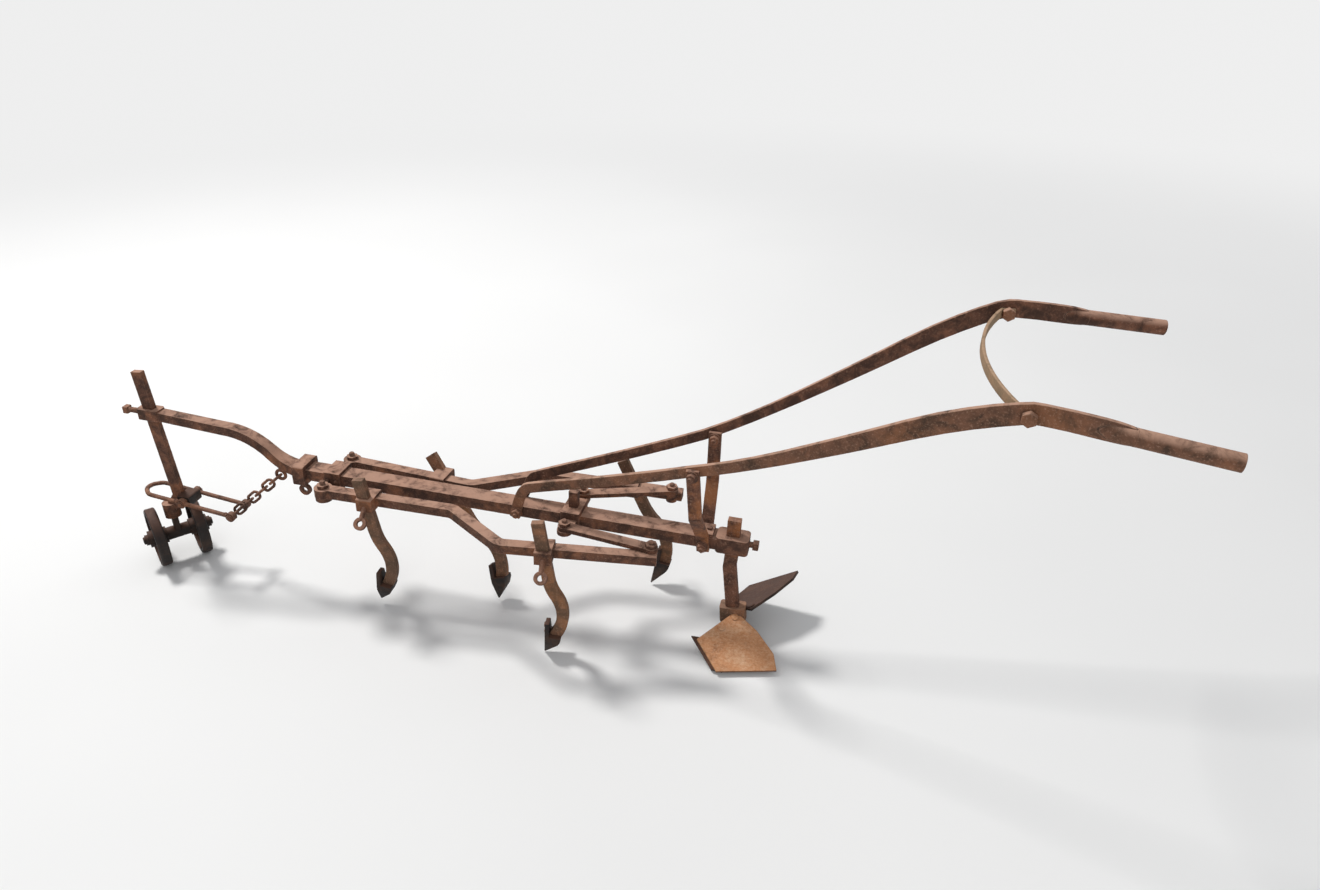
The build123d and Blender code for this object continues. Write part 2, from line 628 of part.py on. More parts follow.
for side in (1, -1):
    word = side_word(side)
    own = [row for row in TINES if row[0] == side]
    link_end = (LINK_ENDS[side][0], side * LINK_ENDS[side][1])
    with BuildPart() as arm:
        with BuildSketch(deck(arm_bottom)):
            with BuildLine():
                FilletPolyline(
                    (ARM_PIVOT_STATION, side * ARM_PIVOT_OFFSET),
                    *[(u, side * v) for u, v in ARM_BENDS[side]],
                    radius=ARM_BEND_RADIUS,
                )
            trace(line_width=ARM_WIDTH)
            with Locations((ARM_PIVOT_STATION, side * ARM_PIVOT_OFFSET)):
                Circle(ARM_EYE_DIAMETER / 2)
                Circle(PIVOT_PIN_DIAMETER / 2 + RUNNING_GAP, mode=Mode.SUBTRACT)
            with Locations(link_end):
                Circle(ARM_WIDTH / 2)
        extrude(amount=ARM_DEPTH)
        with BuildSketch(deck(arm_top)):
            with Locations(link_end):
                Circle(LINK_PIN_DIAMETER / 2)
        extrude(amount=LINK_THICKNESS + LINK_PIN_DIAMETER)
        with BuildSketch(deck(link_top + SEAT_GAP)):
            with Locations(link_end):
                RegularPolygon(LINK_NUT_DIAMETER / 2, 6)
        extrude(amount=LINK_NUT_HEIGHT)
    save(arm, f"{word}_arm")

    tines = []
    for _, place, station, lean, splay, drop, cut, slope in own:
        hold = tine_place(side, station, lean, splay, drop)
        with BuildPart() as tine:
            with BuildSketch(upright_plane(hold)):
                with BuildLine():
                    post = Line((TINE_POST[0], TINE_POST[1] - cut), TINE_KNEE)
                    knee = TangentArc(post @ 1, TINE_CALF, tangent=post % 1)
                    TangentArc(knee @ 1, TINE_FOOT, tangent=knee % 1)
                trace(line_width=TINE_LENGTH_SIDE)
            extrude(amount=TINE_THICKNESS / 2, both=True)
        save(tine, f"{word}_{place}_tine")
        tines.append(tine.part)

        # Spear-shaped point on the front of the shank's foot
        foot = hold * Location((TINE_FOOT[0], 0, TINE_FOOT[1]), (0, slope, 0))
        with BuildPart() as point:
            with BuildSketch(Plane(foot * Location((0, 0, TINE_LENGTH_SIDE / 2 - POINT_SINK)))):
                with BuildLine():
                    Polyline(
                        (-POINT_RISE, POINT_WIDTH / 4),
                        (POINT_REACH / 4, POINT_WIDTH / 2),
                        (POINT_REACH, 0),
                        (POINT_REACH / 4, -POINT_WIDTH / 2),
                        (-POINT_RISE, -POINT_WIDTH / 4),
                        close=True,
                    )
                make_face()
            extrude(amount=POINT_THICKNESS)
            add(tine.part, mode=Mode.SUBTRACT)
        save(point, f"{word}_{place}_point")

    # Box clamps round arm and shank, two on each arm
    with BuildPart() as tine_clamps:
        for _, place, station, *_ in own:
            outer = ARM_WIDTH / 2 + TINE_THICKNESS + CLAMP_WALL + 4 * SEAT_GAP
            inner = ARM_WIDTH / 2 + CLAMP_WALL
            box_middle = Location((-CLAMP_LENGTH / 2, side * (outer - inner) / 2, 0))
            with BuildSketch(section_plane(arm_place(side, station) * box_middle)):
                RectangleRounded(outer + inner, CLAMP_DEPTH, CLAMP_WALL / 2)
            extrude(amount=CLAMP_LENGTH)
        add(arm.part, mode=Mode.SUBTRACT)
        for shank in tines:
            add(shank, mode=Mode.SUBTRACT)
    save(tine_clamps, f"{word}_tine_clamps")

    with BuildPart() as eye_screws:
        for _, place, station, *_ in own:
            outer = ARM_WIDTH / 2 + TINE_THICKNESS + CLAMP_WALL + 5 * SEAT_GAP
            seat = arm_place(side, station) * Location((0, side * (outer - CLAMP_WALL), 0))
            add(eye_screw(seat * Location((0, 0, 0), (-side * (90 + SCREW_DROOP), 0, 0)), SCREW_REACH))
        add(tine_clamps.part, mode=Mode.SUBTRACT)
        add(tines[0], mode=Mode.SUBTRACT)
        add(tines[1], mode=Mode.SUBTRACT)
    save(eye_screws, f"{word}_eye_screws")

    # Flat link from the spreader's stud to the arm's stud
    stud = Vector(SPREADER_STATION, side * SPREADER_EAR_OFFSET)
    far = Vector(*link_end)
    with BuildPart() as link:
        with BuildSketch(deck(link_bottom)):
            with BuildLine():
                Line(stud, far)
            trace(line_width=LINK_WIDTH)
            with Locations(stud, far):
                Circle(LINK_WIDTH / 2 + 2)
            with Locations(stud):
                Circle(LINK_PIN_DIAMETER / 2 + RUNNING_GAP, mode=Mode.SUBTRACT)
            with Locations(far):
                Circle(LINK_SLOT_DIAMETER / 2, mode=Mode.SUBTRACT)
        extrude(amount=LINK_THICKNESS)
    save(link, f"{word}_link")

# Handles: a bar bent in side view and flared in plan, with a round tang for the grip


def mirrored(point, side):
    """A point of the left side in the frame, or its mirror image on the right."""
    return Vector(local(point[0], side * point[1], point[2]).position)


def handle_offset(station):
    """Distance of a handle's middle from the beam's middle at a station."""
    start, end = HANDLE_FLARE[0], HANDLE_FLARE[1]
    if station > start[0]:
        start, end = (HANDLE_FEET[1][1][0], bolt_offset), HANDLE_FLARE[0]
    return start[1] + (end[1] - start[1]) * (station - start[0]) / (end[0] - start[0])


bolt_offset = BEAM_WIDTH / 2 + SEAT_GAP + HANDLE_THICKNESS / 2
handles = {}
for side in (1, -1):
    word = side_word(side)
    grip_start = mirrored(GRIP_START, side)
    grip_end = mirrored(GRIP_END, side)
    grip_plane = Plane(origin=grip_start, z_dir=grip_end - grip_start)
    grip_length = (grip_end - grip_start).length
    with BuildPart() as handle:
        with BuildSketch(upright_plane(local(0, 0, 0))):
            with BuildLine():
                foot = Line(*HANDLE_FEET[side])
                rise = ThreePointArc(foot @ 1, *HANDLE_RISE)
                crown = TangentArc(rise @ 1, HANDLE_CROWN, tangent=rise % 1)
                Line(crown @ 1, HANDLE_TANG_START)
            trace(line_width=HANDLE_DEPTH)
        extrude(amount=2 * GRIP_END[1], both=True)
        with BuildSketch(deck(0)):
            with BuildLine():
                Polyline(
                    (HANDLE_FEET[side][0][0] + HANDLE_DEPTH, side * bolt_offset),
                    (HANDLE_FEET[side][1][0], side * bolt_offset),
                    *[(u, side * v) for u, v in HANDLE_FLARE],
                )
            trace(line_width=HANDLE_THICKNESS)
        extrude(amount=2 * GRIP_END[2], both=True, mode=Mode.INTERSECT)
        with BuildSketch(grip_plane.offset(-HANDLE_THICKNESS)):
            Circle(TANG_DIAMETER / 2)
        extrude(amount=TANG_LENGTH + HANDLE_THICKNESS)
        with BuildSketch(grip_plane.offset(-SEAT_GAP)):
            Rectangle(2 * HANDLE_DEPTH, 2 * HANDLE_DEPTH)
            Circle(TANG_DIAMETER / 2, mode=Mode.SUBTRACT)
        extrude(amount=TANG_LENGTH, mode=Mode.SUBTRACT)
    save(handle, f"{word}_handle")
    handles[side] = handle.part

    with BuildPart() as grip:
        with BuildSketch(grip_plane):
            Circle(GRIP_DIAMETER / 2)
        extrude(amount=grip_length)
        with BuildSketch(grip_plane):
            Circle(TANG_DIAMETER / 2 + SEAT_GAP)
        extrude(amount=TANG_LENGTH + SEAT_GAP, mode=Mode.SUBTRACT)
    save(grip, f"{word}_grip")

# Hoop strap, bowed forwards, its tabs on the handles' inner faces
tail, knee = HANDLE_FLARE[2], HANDLE_FLARE[1]
tail_slope = (tail[1] - knee[1]) / (knee[0] - tail[0])
face_step = (HANDLE_THICKNESS + HOOP_THICKNESS) / 2 * hypot(1, tail_slope) + SEAT_GAP
hoop_half = knee[1] + (knee[0] - HOOP_STATION) * tail_slope - face_step
with BuildPart() as handle_hoop:
    with BuildSketch(deck(HOOP_HEIGHT)):
        with BuildLine():
            Line((HOOP_STATION - HOOP_TAB, hoop_half + HOOP_TAB * tail_slope), (HOOP_STATION, hoop_half))
            ThreePointArc(
                (HOOP_STATION, hoop_half),
                (HOOP_STATION + HOOP_BOW, 0),
                (HOOP_STATION, -hoop_half),
            )
            Line((HOOP_STATION, -hoop_half), (HOOP_STATION - HOOP_TAB, -hoop_half - HOOP_TAB * tail_slope))
        trace(line_width=HOOP_THICKNESS)
    extrude(amount=HOOP_WIDTH / 2, both=True)
save(handle_hoop, "handle_hoop")

# Uprights from the beam's sides to the handles: the left on the outer face, the right inside
upright_in = BEAM_WIDTH / 2 + SEAT_GAP + UPRIGHT_THICKNESS / 2
for side in (1, -1):
    upright_place = local(UPRIGHT_STATION, 0, 0) * Location((0, 0, 0), (0, UPRIGHT_LEANS[side], 0))
    to_face = (HANDLE_THICKNESS + UPRIGHT_THICKNESS) / 2
    upright_out = handle_offset(UPRIGHT_STATION + 20) + side * to_face
    own_handle = handles[side]
    with BuildPart() as upright:
        with BuildSketch(section_plane(upright_place)):
            with BuildLine():
                Polyline(
                    (side * upright_in, UPRIGHT_FOOT),
                    (side * upright_in, UPRIGHT_ELBOW),
                    (side * (upright_out - 6), UPRIGHT_KNEE),
                    (side * upright_out, UPRIGHT_TOP),
                )
            trace(line_width=UPRIGHT_THICKNESS)
        extrude(amount=UPRIGHT_WIDTH / 2, both=True)
        add(own_handle, mode=Mode.SUBTRACT)
    save(upright, f"{side_word(side)}_upright")

# Saddle between the uprights' feet, over the beam
with BuildPart() as upright_saddle:
    with BuildSketch(section_plane(local(UPRIGHT_STATION - SADDLE_LENGTH / 2, 0, 0))):
        with Locations((0, BEAM_DEPTH / 2 + SEAT_GAP + SADDLE_THICKNESS / 2)):
            Rectangle(BEAM_WIDTH - 2 * SEAT_GAP, SADDLE_THICKNESS)
    extrude(amount=SADDLE_LENGTH)
save(upright_saddle, "upright_saddle")

# Ridging body's shank, straight through the rear eye and curved to its foot
with BuildPart() as ridger_shank:
    with BuildSketch(upright_plane(rear_eye)):
        with BuildLine():
            post = Line((0, SHANK_POST), (0, -REAR_EYE_DEPTH / 2))
            bend = TangentArc(post @ 1, SHANK_KNEE, tangent=post % 1)
            Line(bend @ 1, SHANK_FOOT)
        trace(line_width=SHANK_LENGTH_SIDE)
    extrude(amount=SHANK_THICKNESS / 2, both=True)
save(ridger_shank, "ridger_shank")

# Square-headed set screw behind the rear eye
rear_seat = rear_eye * Location((-REAR_EYE_LENGTH / 2 - SEAT_GAP, 0, 0), (0, 0, 180))
with BuildPart() as rear_set_screw:
    add(set_screw(rear_seat, REAR_SCREW_LENGTH))
save(rear_set_screw, "rear_set_screw")

# Frog under the shank's foot
frog_place = rear_eye * Location((SHANK_FOOT[0], 0, SHANK_FOOT[1]), (0, FROG_LEAN, 0))
with BuildPart() as ridger_frog:
    with BuildSketch(Plane(frog_place)):
        RectangleRounded(FROG_LENGTH, FROG_WIDTH, FROG_WIDTH / 5)
    extrude(amount=FROG_DEPTH / 2, both=True)
    add(ridger_shank.part, mode=Mode.SUBTRACT)
save(ridger_frog, "ridger_frog")

# Wings
for side, corner, edge_direction, normal in WINGS:
    wing_plane = Plane(origin=corner, x_dir=edge_direction, z_dir=normal)
    with BuildPart() as wing:
        with BuildSketch(wing_plane):
            with BuildLine():
                Polyline(*[(along, side * across) for along, across in WING_OUTLINE], close=True)
            make_face()
        extrude(amount=WING_THICKNESS / 2, both=True)
        add(ridger_frog.part, mode=Mode.SUBTRACT)
        add(ridger_shank.part, mode=Mode.SUBTRACT)
    save(wing, f"{side_word(side)}_wing")

# Cutting strips under the wings' front edges
with BuildPart() as ridger_shares:
    for side, corner, edge_direction, normal in WINGS:
        wing_plane = Plane(origin=corner, x_dir=edge_direction, z_dir=normal)
        with BuildSketch(wing_plane.offset(-WING_THICKNESS / 2 - SEAT_GAP)):
            with BuildLine():
                Polyline(*[(along, side * across) for along, across in SHARE_OUTLINE], close=True)
            make_face()
        extrude(amount=-SHARE_THICKNESS)
save(ridger_shares, "ridger_shares")
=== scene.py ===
"""Finishes and small iron fittings of a walking ridging hoe, built round its fixed frame."""

from collections import namedtuple
from contextlib import contextmanager
from math import atan2, cos, degrees, hypot, radians, sin, tan

import bmesh
import bpy
from mathutils import Matrix, Vector


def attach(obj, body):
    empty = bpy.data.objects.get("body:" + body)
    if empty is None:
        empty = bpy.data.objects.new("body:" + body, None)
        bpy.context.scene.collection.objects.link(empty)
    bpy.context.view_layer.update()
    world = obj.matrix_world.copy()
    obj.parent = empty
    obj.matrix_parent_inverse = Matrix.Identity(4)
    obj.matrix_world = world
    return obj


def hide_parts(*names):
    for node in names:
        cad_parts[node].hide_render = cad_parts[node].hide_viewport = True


bl_info = {
    "name": "Ridging hoe",
    "version": (1, 0, 0),
    "blender": (4, 5, 0),
    "location": "3D View > Sidebar > Ridger",
    "description": "Finishes and small iron fittings of a walking ridging hoe on a wheel foot",
    "category": "Object",
}

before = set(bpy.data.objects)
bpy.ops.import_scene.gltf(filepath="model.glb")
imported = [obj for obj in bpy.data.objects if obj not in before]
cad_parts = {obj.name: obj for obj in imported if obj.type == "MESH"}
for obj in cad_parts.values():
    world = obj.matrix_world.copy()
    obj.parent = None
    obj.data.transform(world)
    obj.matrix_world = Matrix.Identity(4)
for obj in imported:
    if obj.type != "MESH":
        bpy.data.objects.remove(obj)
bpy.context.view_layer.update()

MM = 0.001

# The beam's pitched frame: a place on it is station, offset to the left and height, in mm
BEAM_SHIFT = -11
BEAM_HEIGHT = 279
BEAM_PITCH = 3.1
BEAM_HALF_WIDTH = 22
BEAM_HALF_DEPTH = 14
# Gap between a fitting and its seat, in mm
SEAT = 0.3


def spun(x=0.0, y=0.0, z=0.0):
    """A turn about x, then about the turned y, then about the turned z, in degrees."""
    return (
        Matrix.Rotation(radians(x), 4, "X")
        @ Matrix.Rotation(radians(y), 4, "Y")
        @ Matrix.Rotation(radians(z), 4, "Z")
    )


def moved(x, y, z):
    """A move in millimetres."""
    return Matrix.Translation(Vector((x, y, z)) * MM)


def on_beam(station, offset, height):
    """A place in the beam's frame, x forwards along the beam and z up from it."""
    return moved(BEAM_SHIFT, 0, BEAM_HEIGHT) @ spun(y=-BEAM_PITCH) @ moved(station, offset, height)


# Turns that point a fitting's z, which is its way out of the seat
FORWARDS = spun(y=90)
BACKWARDS = spun(y=-90)

# The sides of the machine, by the sign of an offset to the left
SIDES = {1: "left", -1: "right"}
OUTWARDS = {1: spun(x=-90), -1: spun(x=90)}


def to_linear(level):
    """One channel of a colour, 0 to 255, as the light that it stands for."""
    level /= 255
    return level / 12.92 if level <= 0.04045 else ((level + 0.055) / 1.055) ** 2.4


def tint(red, green, blue):
    return (to_linear(red), to_linear(green), to_linear(blue))


def colour_property(name, description, default):
    return bpy.props.FloatVectorProperty(
        name=name, description=description, subtype="COLOR", size=3, min=0, max=1, default=default
    )


def length_property(name, description, default):
    return bpy.props.FloatProperty(
        name=name, description=description, subtype="DISTANCE", unit="LENGTH", default=default * MM
    )


class RidgerColours(bpy.types.PropertyGroup):
    """Colours of the rust and the iron."""

    # Crust also paints the top light on upward faces of the bars, together with pale dust
    crust: colour_property("Crust", "Light crust of the weathered bars", tint(186, 146, 124))
    brown: colour_property("Brown rust", "Main colour of the weathered bars", tint(126, 84, 64))
    # Umber also paints the side shade on upright faces of the bars and the shade under the wing
    umber: colour_property("Umber", "Dark patches of the weathered bars", tint(66, 44, 34))
    orange: colour_property("Orange rust", "Fresh rust in patches", tint(154, 96, 54))
    lichen: colour_property("Dusty tan", "Pale dusty rust of the hoop", tint(176, 154, 118))
    scoured: colour_property("Scoured plate", "Colour of the soil-worn wing", tint(202, 142, 98))
    scoured_light: colour_property("Plate light", "Light bloom on the wing", tint(222, 184, 150))
    scoured_dark: colour_property("Plate dark", "Stains on the wing", tint(132, 84, 54))
    iron: colour_property("Iron", "Dark worn iron of wheels and points", tint(38, 33, 31))
    iron_rust: colour_property("Iron rust", "Rust bloom on the dark iron", tint(80, 58, 45))
    floor: colour_property("Floor", "Pale studio floor", (0.87, 0.86, 0.84))


class RidgerSizes(bpy.types.PropertyGroup):
    """Sizes of the small fittings."""

    bolt_flats: length_property("Nut width", "Across the corners of a bolt's head or nut", 22)
    bolt_height: length_property("Nut height", "Height of a bolt's head or nut", 9)
    bolt_thread: length_property("Thread", "Diameter of a bolt's thread", 11)
    thread_length: length_property("Thread length", "Thread standing out of a nut", 8)
    washer: length_property("Washer", "Diameter of a washer", 27)
    hoop_nut: length_property("Hoop nut", "Across the corners of the nuts on the hoop", 29)
    plough_head: length_property("Plough bolt", "Diameter of a plough bolt's flat head", 17)
    pin_wire: length_property("Pin wire", "Diameter of a split pin's wire", 3)
    shoulder: length_property("Shoulder", "Length over which a bar turns into its grip", 62)


# Modelling helpers


def only(obj):
    """Selects one object alone and makes it active."""
    bpy.ops.object.select_all(action="DESELECT")
    obj.select_set(True)
    bpy.context.view_layer.objects.active = obj


def started(shape, **size):
    """A new primitive with nothing else selected, its place put in its mesh."""
    bpy.ops.object.select_all(action="DESELECT")
    getattr(bpy.ops.mesh, f"primitive_{shape}_add")(**size)
    bpy.ops.object.transform_apply(location=True, rotation=True, scale=True)
    return bpy.context.object


def upright_cylinder(vertices, diameter, height):
    """A cylinder that stands on z = 0."""
    middle = (0, 0, height / 2)
    return started(
        "cylinder", vertices=vertices, radius=diameter / 2, depth=height, location=middle
    )


@contextmanager
def editing(obj, kind):
    """Edit mode on one object, with nothing of its mesh selected."""
    only(obj)
    bpy.ops.object.mode_set(mode="EDIT")
    bpy.ops.mesh.select_mode(type=kind)
    bpy.ops.mesh.select_all(action="DESELECT")
    yield
    bpy.ops.object.mode_set(mode="OBJECT")


def pick(obj, kind, test):
    """Selects the faces, edges or verts that a test on the element names, in edit mode."""
    bpy.ops.mesh.select_all(action="DESELECT")
    form = bmesh.from_edit_mesh(obj.data)
    for item in getattr(form, kind):
        if test(item):
            item.select_set(True)
    form.select_flush_mode()
    bmesh.update_edit_mesh(obj.data)


def faces_up(face):
    return face.normal.z > 0.99


def stands(edge):
    low, high = edge.verts
    return abs(low.co.z - high.co.z) > 1e-5


# Edges that turn by more than this are sharp, in degrees
SHARP = 35


def bevelled(obj, width, segments=2):
    """Rounds the sharp edges of a piece."""
    only(obj)
    rounding = obj.modifiers.new("rounding", "BEVEL")
    rounding.width = width
    rounding.segments = segments
    rounding.limit_method = "ANGLE"
    rounding.angle_limit = radians(SHARP)
    bpy.ops.object.modifier_apply(modifier=rounding.name)
    return obj


def joined(parts, name):
    """Several meshes as one piece, shaded smooth up to an angle."""
    only(parts[0])
    for part in parts:
        part.select_set(True)
    if len(parts) > 1:
        bpy.ops.object.join()
    piece = bpy.context.object
    bpy.ops.object.transform_apply(location=True, rotation=True, scale=True)
    bpy.ops.object.shade_smooth_by_angle(angle=radians(SHARP))
    piece.name = name
    piece.data.name = name
    return piece


def copies(model, places):
    """The model at each place, each copy with its own mesh. The model is used up."""
    made = []
    for place in places:
        twin = model.copy()
        twin.data = model.data.copy()
        bpy.context.collection.objects.link(twin)
        twin.data.transform(place)
        made.append(twin)
    bpy.data.objects.remove(model)
    return made


def fitted(parts, name, body, finish):
    """Joins parts to one piece, gives it its finish and lets it ride on a body."""
    piece = joined(parts, name)
    piece.data.materials.clear()
    piece.data.materials.append(bpy.data.materials[finish])
    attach(piece, body)
    return piece


# Bars drawn through rings of four corners: low right, low left, high left, high right
CORNERS = ((-1, -1), (1, -1), (1, 1), (-1, 1))


def lies_along(edge):
    near, far = edge.verts
    return abs(near.co.x - far.co.x) > 0.5


def lofted(rings):
    """A block drawn through rings of four corners in mm."""
    last = len(rings) - 1
    block = started("cube", size=1, location=(0.5, 0, 0))
    with editing(block, "EDGE"):
        pick(block, "edges", lies_along)
        bpy.ops.mesh.subdivide(number_cuts=last - 1)
    steps = {}
    for vert in block.data.vertices:
        ring = round(vert.co.x * last)
        corner = CORNERS.index((1 if vert.co.y > 0 else -1, 1 if vert.co.z > 0 else -1))
        steps[vert.index] = Vector(rings[ring][corner]) * MM - vert.co
    with editing(block, "VERT"):
        for index, step in steps.items():
            pick(block, "verts", lambda vert: vert.index == index)
            bpy.ops.transform.translate(value=step)
    return block


def flat_bar(line, thickness, offset=None):
    """A flat bar on edge along a line in x and z. Columns of the line: x, z, depth.

    The offset gives the bar's place in y for each x, and is 0 without it.
    """
    rings = []
    for index, (x, z, depth) in enumerate(line):
        before, after = line[max(index - 1, 0)], line[min(index + 1, len(line) - 1)]
        run = hypot(after[0] - before[0], after[1] - before[1])
        side_x, side_z = -(after[1] - before[1]) / run, (after[0] - before[0]) / run
        ring = []
        for across, along in CORNERS:
            corner_x = x + along * side_x * depth / 2
            corner_z = z + along * side_z * depth / 2
            middle = offset(corner_x) if offset else 0
            ring.append((corner_x, middle + across * thickness / 2, corner_z))
        rings.append(ring)
    return lofted(rings)


def eased(line, steps):
    """The line with each run divided along a smooth curve through its places."""
    places = [Vector(place) for place in line]
    places = [2 * places[0] - places[1], *places, 2 * places[-1] - places[-2]]
    fine = []
    for first, start, end, last in zip(places, places[1:], places[2:], places[3:]):
        for step in range(steps):
            share = step / steps
            slope = end - first
            bend = 2 * first - 5 * start + 4 * end - last
            twist = 3 * start - 3 * end + last - first
            fine.append(0.5 * (2 * start + slope * share + bend * share**2 + twist * share**3))
    fine.append(places[-2])
    return fine


# Small fittings, each standing on z = 0 and pointing along +z


def hex_nut(width, height):
    """A six-sided nut with a chamfered crown."""
    nut = upright_cylinder(6, width, height)
    with editing(nut, "FACE"):
        pick(nut, "faces", faces_up)
        bpy.ops.mesh.inset(thickness=width * 0.09, depth=height * 0.12)
    return bevelled(nut, width * 0.03)


def round_plate(diameter, height, crown=0.12):
    """A washer or flat round head with an eased rim."""
    plate = upright_cylinder(20, diameter, height)
    with editing(plate, "FACE"):
        pick(plate, "faces", faces_up)
        bpy.ops.mesh.inset(thickness=diameter * 0.1, depth=height * crown)
    return bevelled(plate, height * 0.2, segments=1)


def thread(diameter, length, turns):
    """A threaded stub, its grooves pressed in between the crests."""
    stub = upright_cylinder(14, diameter, length)
    step = length / (2 * turns)
    with editing(stub, "EDGE"):
        pick(stub, "edges", stands)
        bpy.ops.mesh.subdivide(number_cuts=2 * turns - 1)
    with editing(stub, "VERT"):
        pick(stub, "verts", lambda vert: round(vert.co.z / step) % 2 == 1)
        bpy.ops.transform.resize(value=(0.84, 0.84, 1))
        pick(stub, "verts", lambda vert: vert.co.z > length - step / 2)
        bpy.ops.transform.resize(value=(0.8, 0.8, 1))
    return stub


def raised(obj, height):
    """The same fitting lifted along its own z."""
    obj.data.transform(Matrix.Translation((0, 0, height)))
    return obj


def nut_on_thread(sizes):
    """A nut on its washer, with the end of the bolt standing out."""
    lift = 2.5 * MM
    top = lift + sizes.bolt_height - 1 * MM
    parts = [
        raised(hex_nut(sizes.bolt_flats, sizes.bolt_height), lift),
        round_plate(sizes.washer, lift),
        raised(thread(sizes.bolt_thread, sizes.thread_length, turns=4), top),
    ]
    return joined(parts, "nut_on_thread")


def small_nut():
    """The small nut behind a point's bolt."""
    nut = hex_nut(width=15 * MM, height=6 * MM)
    end = thread(diameter=8 * MM, length=5 * MM, turns=3)
    return joined([nut, raised(end, 5.4 * MM)], "small_nut")


def plough_bolt(sizes):
    """A flat round plough bolt head, slightly proud of its plate."""
    return round_plate(sizes.plough_head, height=2.4 * MM, crown=0.25)


def split_pin(sizes, reach):
    """A split pin: a wire eye at the top and two legs spread a little below."""
    wire = sizes.pin_wire / 2
    eye_radius = 2.2 * sizes.pin_wire
    # The eye is a wire from z = 0 to z = 1, bent round. Blender's spin tool isn't used
    # for it, because that gives the faces in another order from run to run.
    ring = started("cylinder", vertices=6, radius=wire, depth=1, location=(0, 0, 0.5))
    with editing(ring, "EDGE"):
        pick(ring, "edges", stands)
        bpy.ops.mesh.subdivide(number_cuts=11)
    for vert in ring.data.vertices:
        place = Vector((eye_radius + vert.co.x, 0, vert.co.y))
        vert.co = spun(z=-330 * vert.co.z) @ place
    ring.data.transform(spun(x=90) @ moved(0, eye_radius / MM, 0))
    parts = [ring]
    for way in (-1, 1):
        middle = (way * wire, 0, -reach / 2)
        leg = started("cylinder", vertices=6, radius=wire, depth=reach, location=middle)
        with editing(leg, "EDGE"):
            pick(leg, "edges", stands)
            bpy.ops.mesh.subdivide(number_cuts=3)
        with editing(leg, "VERT"):
            for step in (0.5, 0.75, 1.0):
                pick(leg, "verts", lambda vert: abs(vert.co.z + step * reach) < reach * 0.02)
                spread = way * wire * 3 * (step - 0.4)
                bpy.ops.transform.translate(value=(spread, 0, 0))
        parts.append(leg)
    return joined(parts, "split_pin")


# Shader maths


class Wire:
    """A socket that takes part in sums and products."""

    def __init__(self, shop, socket):
        self.shop = shop
        self.socket = socket

    def _with(self, operation, first, second):
        node = self.shop.node("ShaderNodeMath", {"operation": operation}, {0: first, 1: second})
        return Wire(self.shop, node.outputs[0])

    def __add__(self, other):
        return self._with("ADD", self, other)

    def __radd__(self, other):
        return self._with("ADD", other, self)

    def __sub__(self, other):
        return self._with("SUBTRACT", self, other)

    def __rsub__(self, other):
        return self._with("SUBTRACT", other, self)

    def __mul__(self, other):
        return self._with("MULTIPLY", self, other)

    def __rmul__(self, other):
        return self._with("MULTIPLY", other, self)

    def most(self, other):
        return self._with("MAXIMUM", self, other)


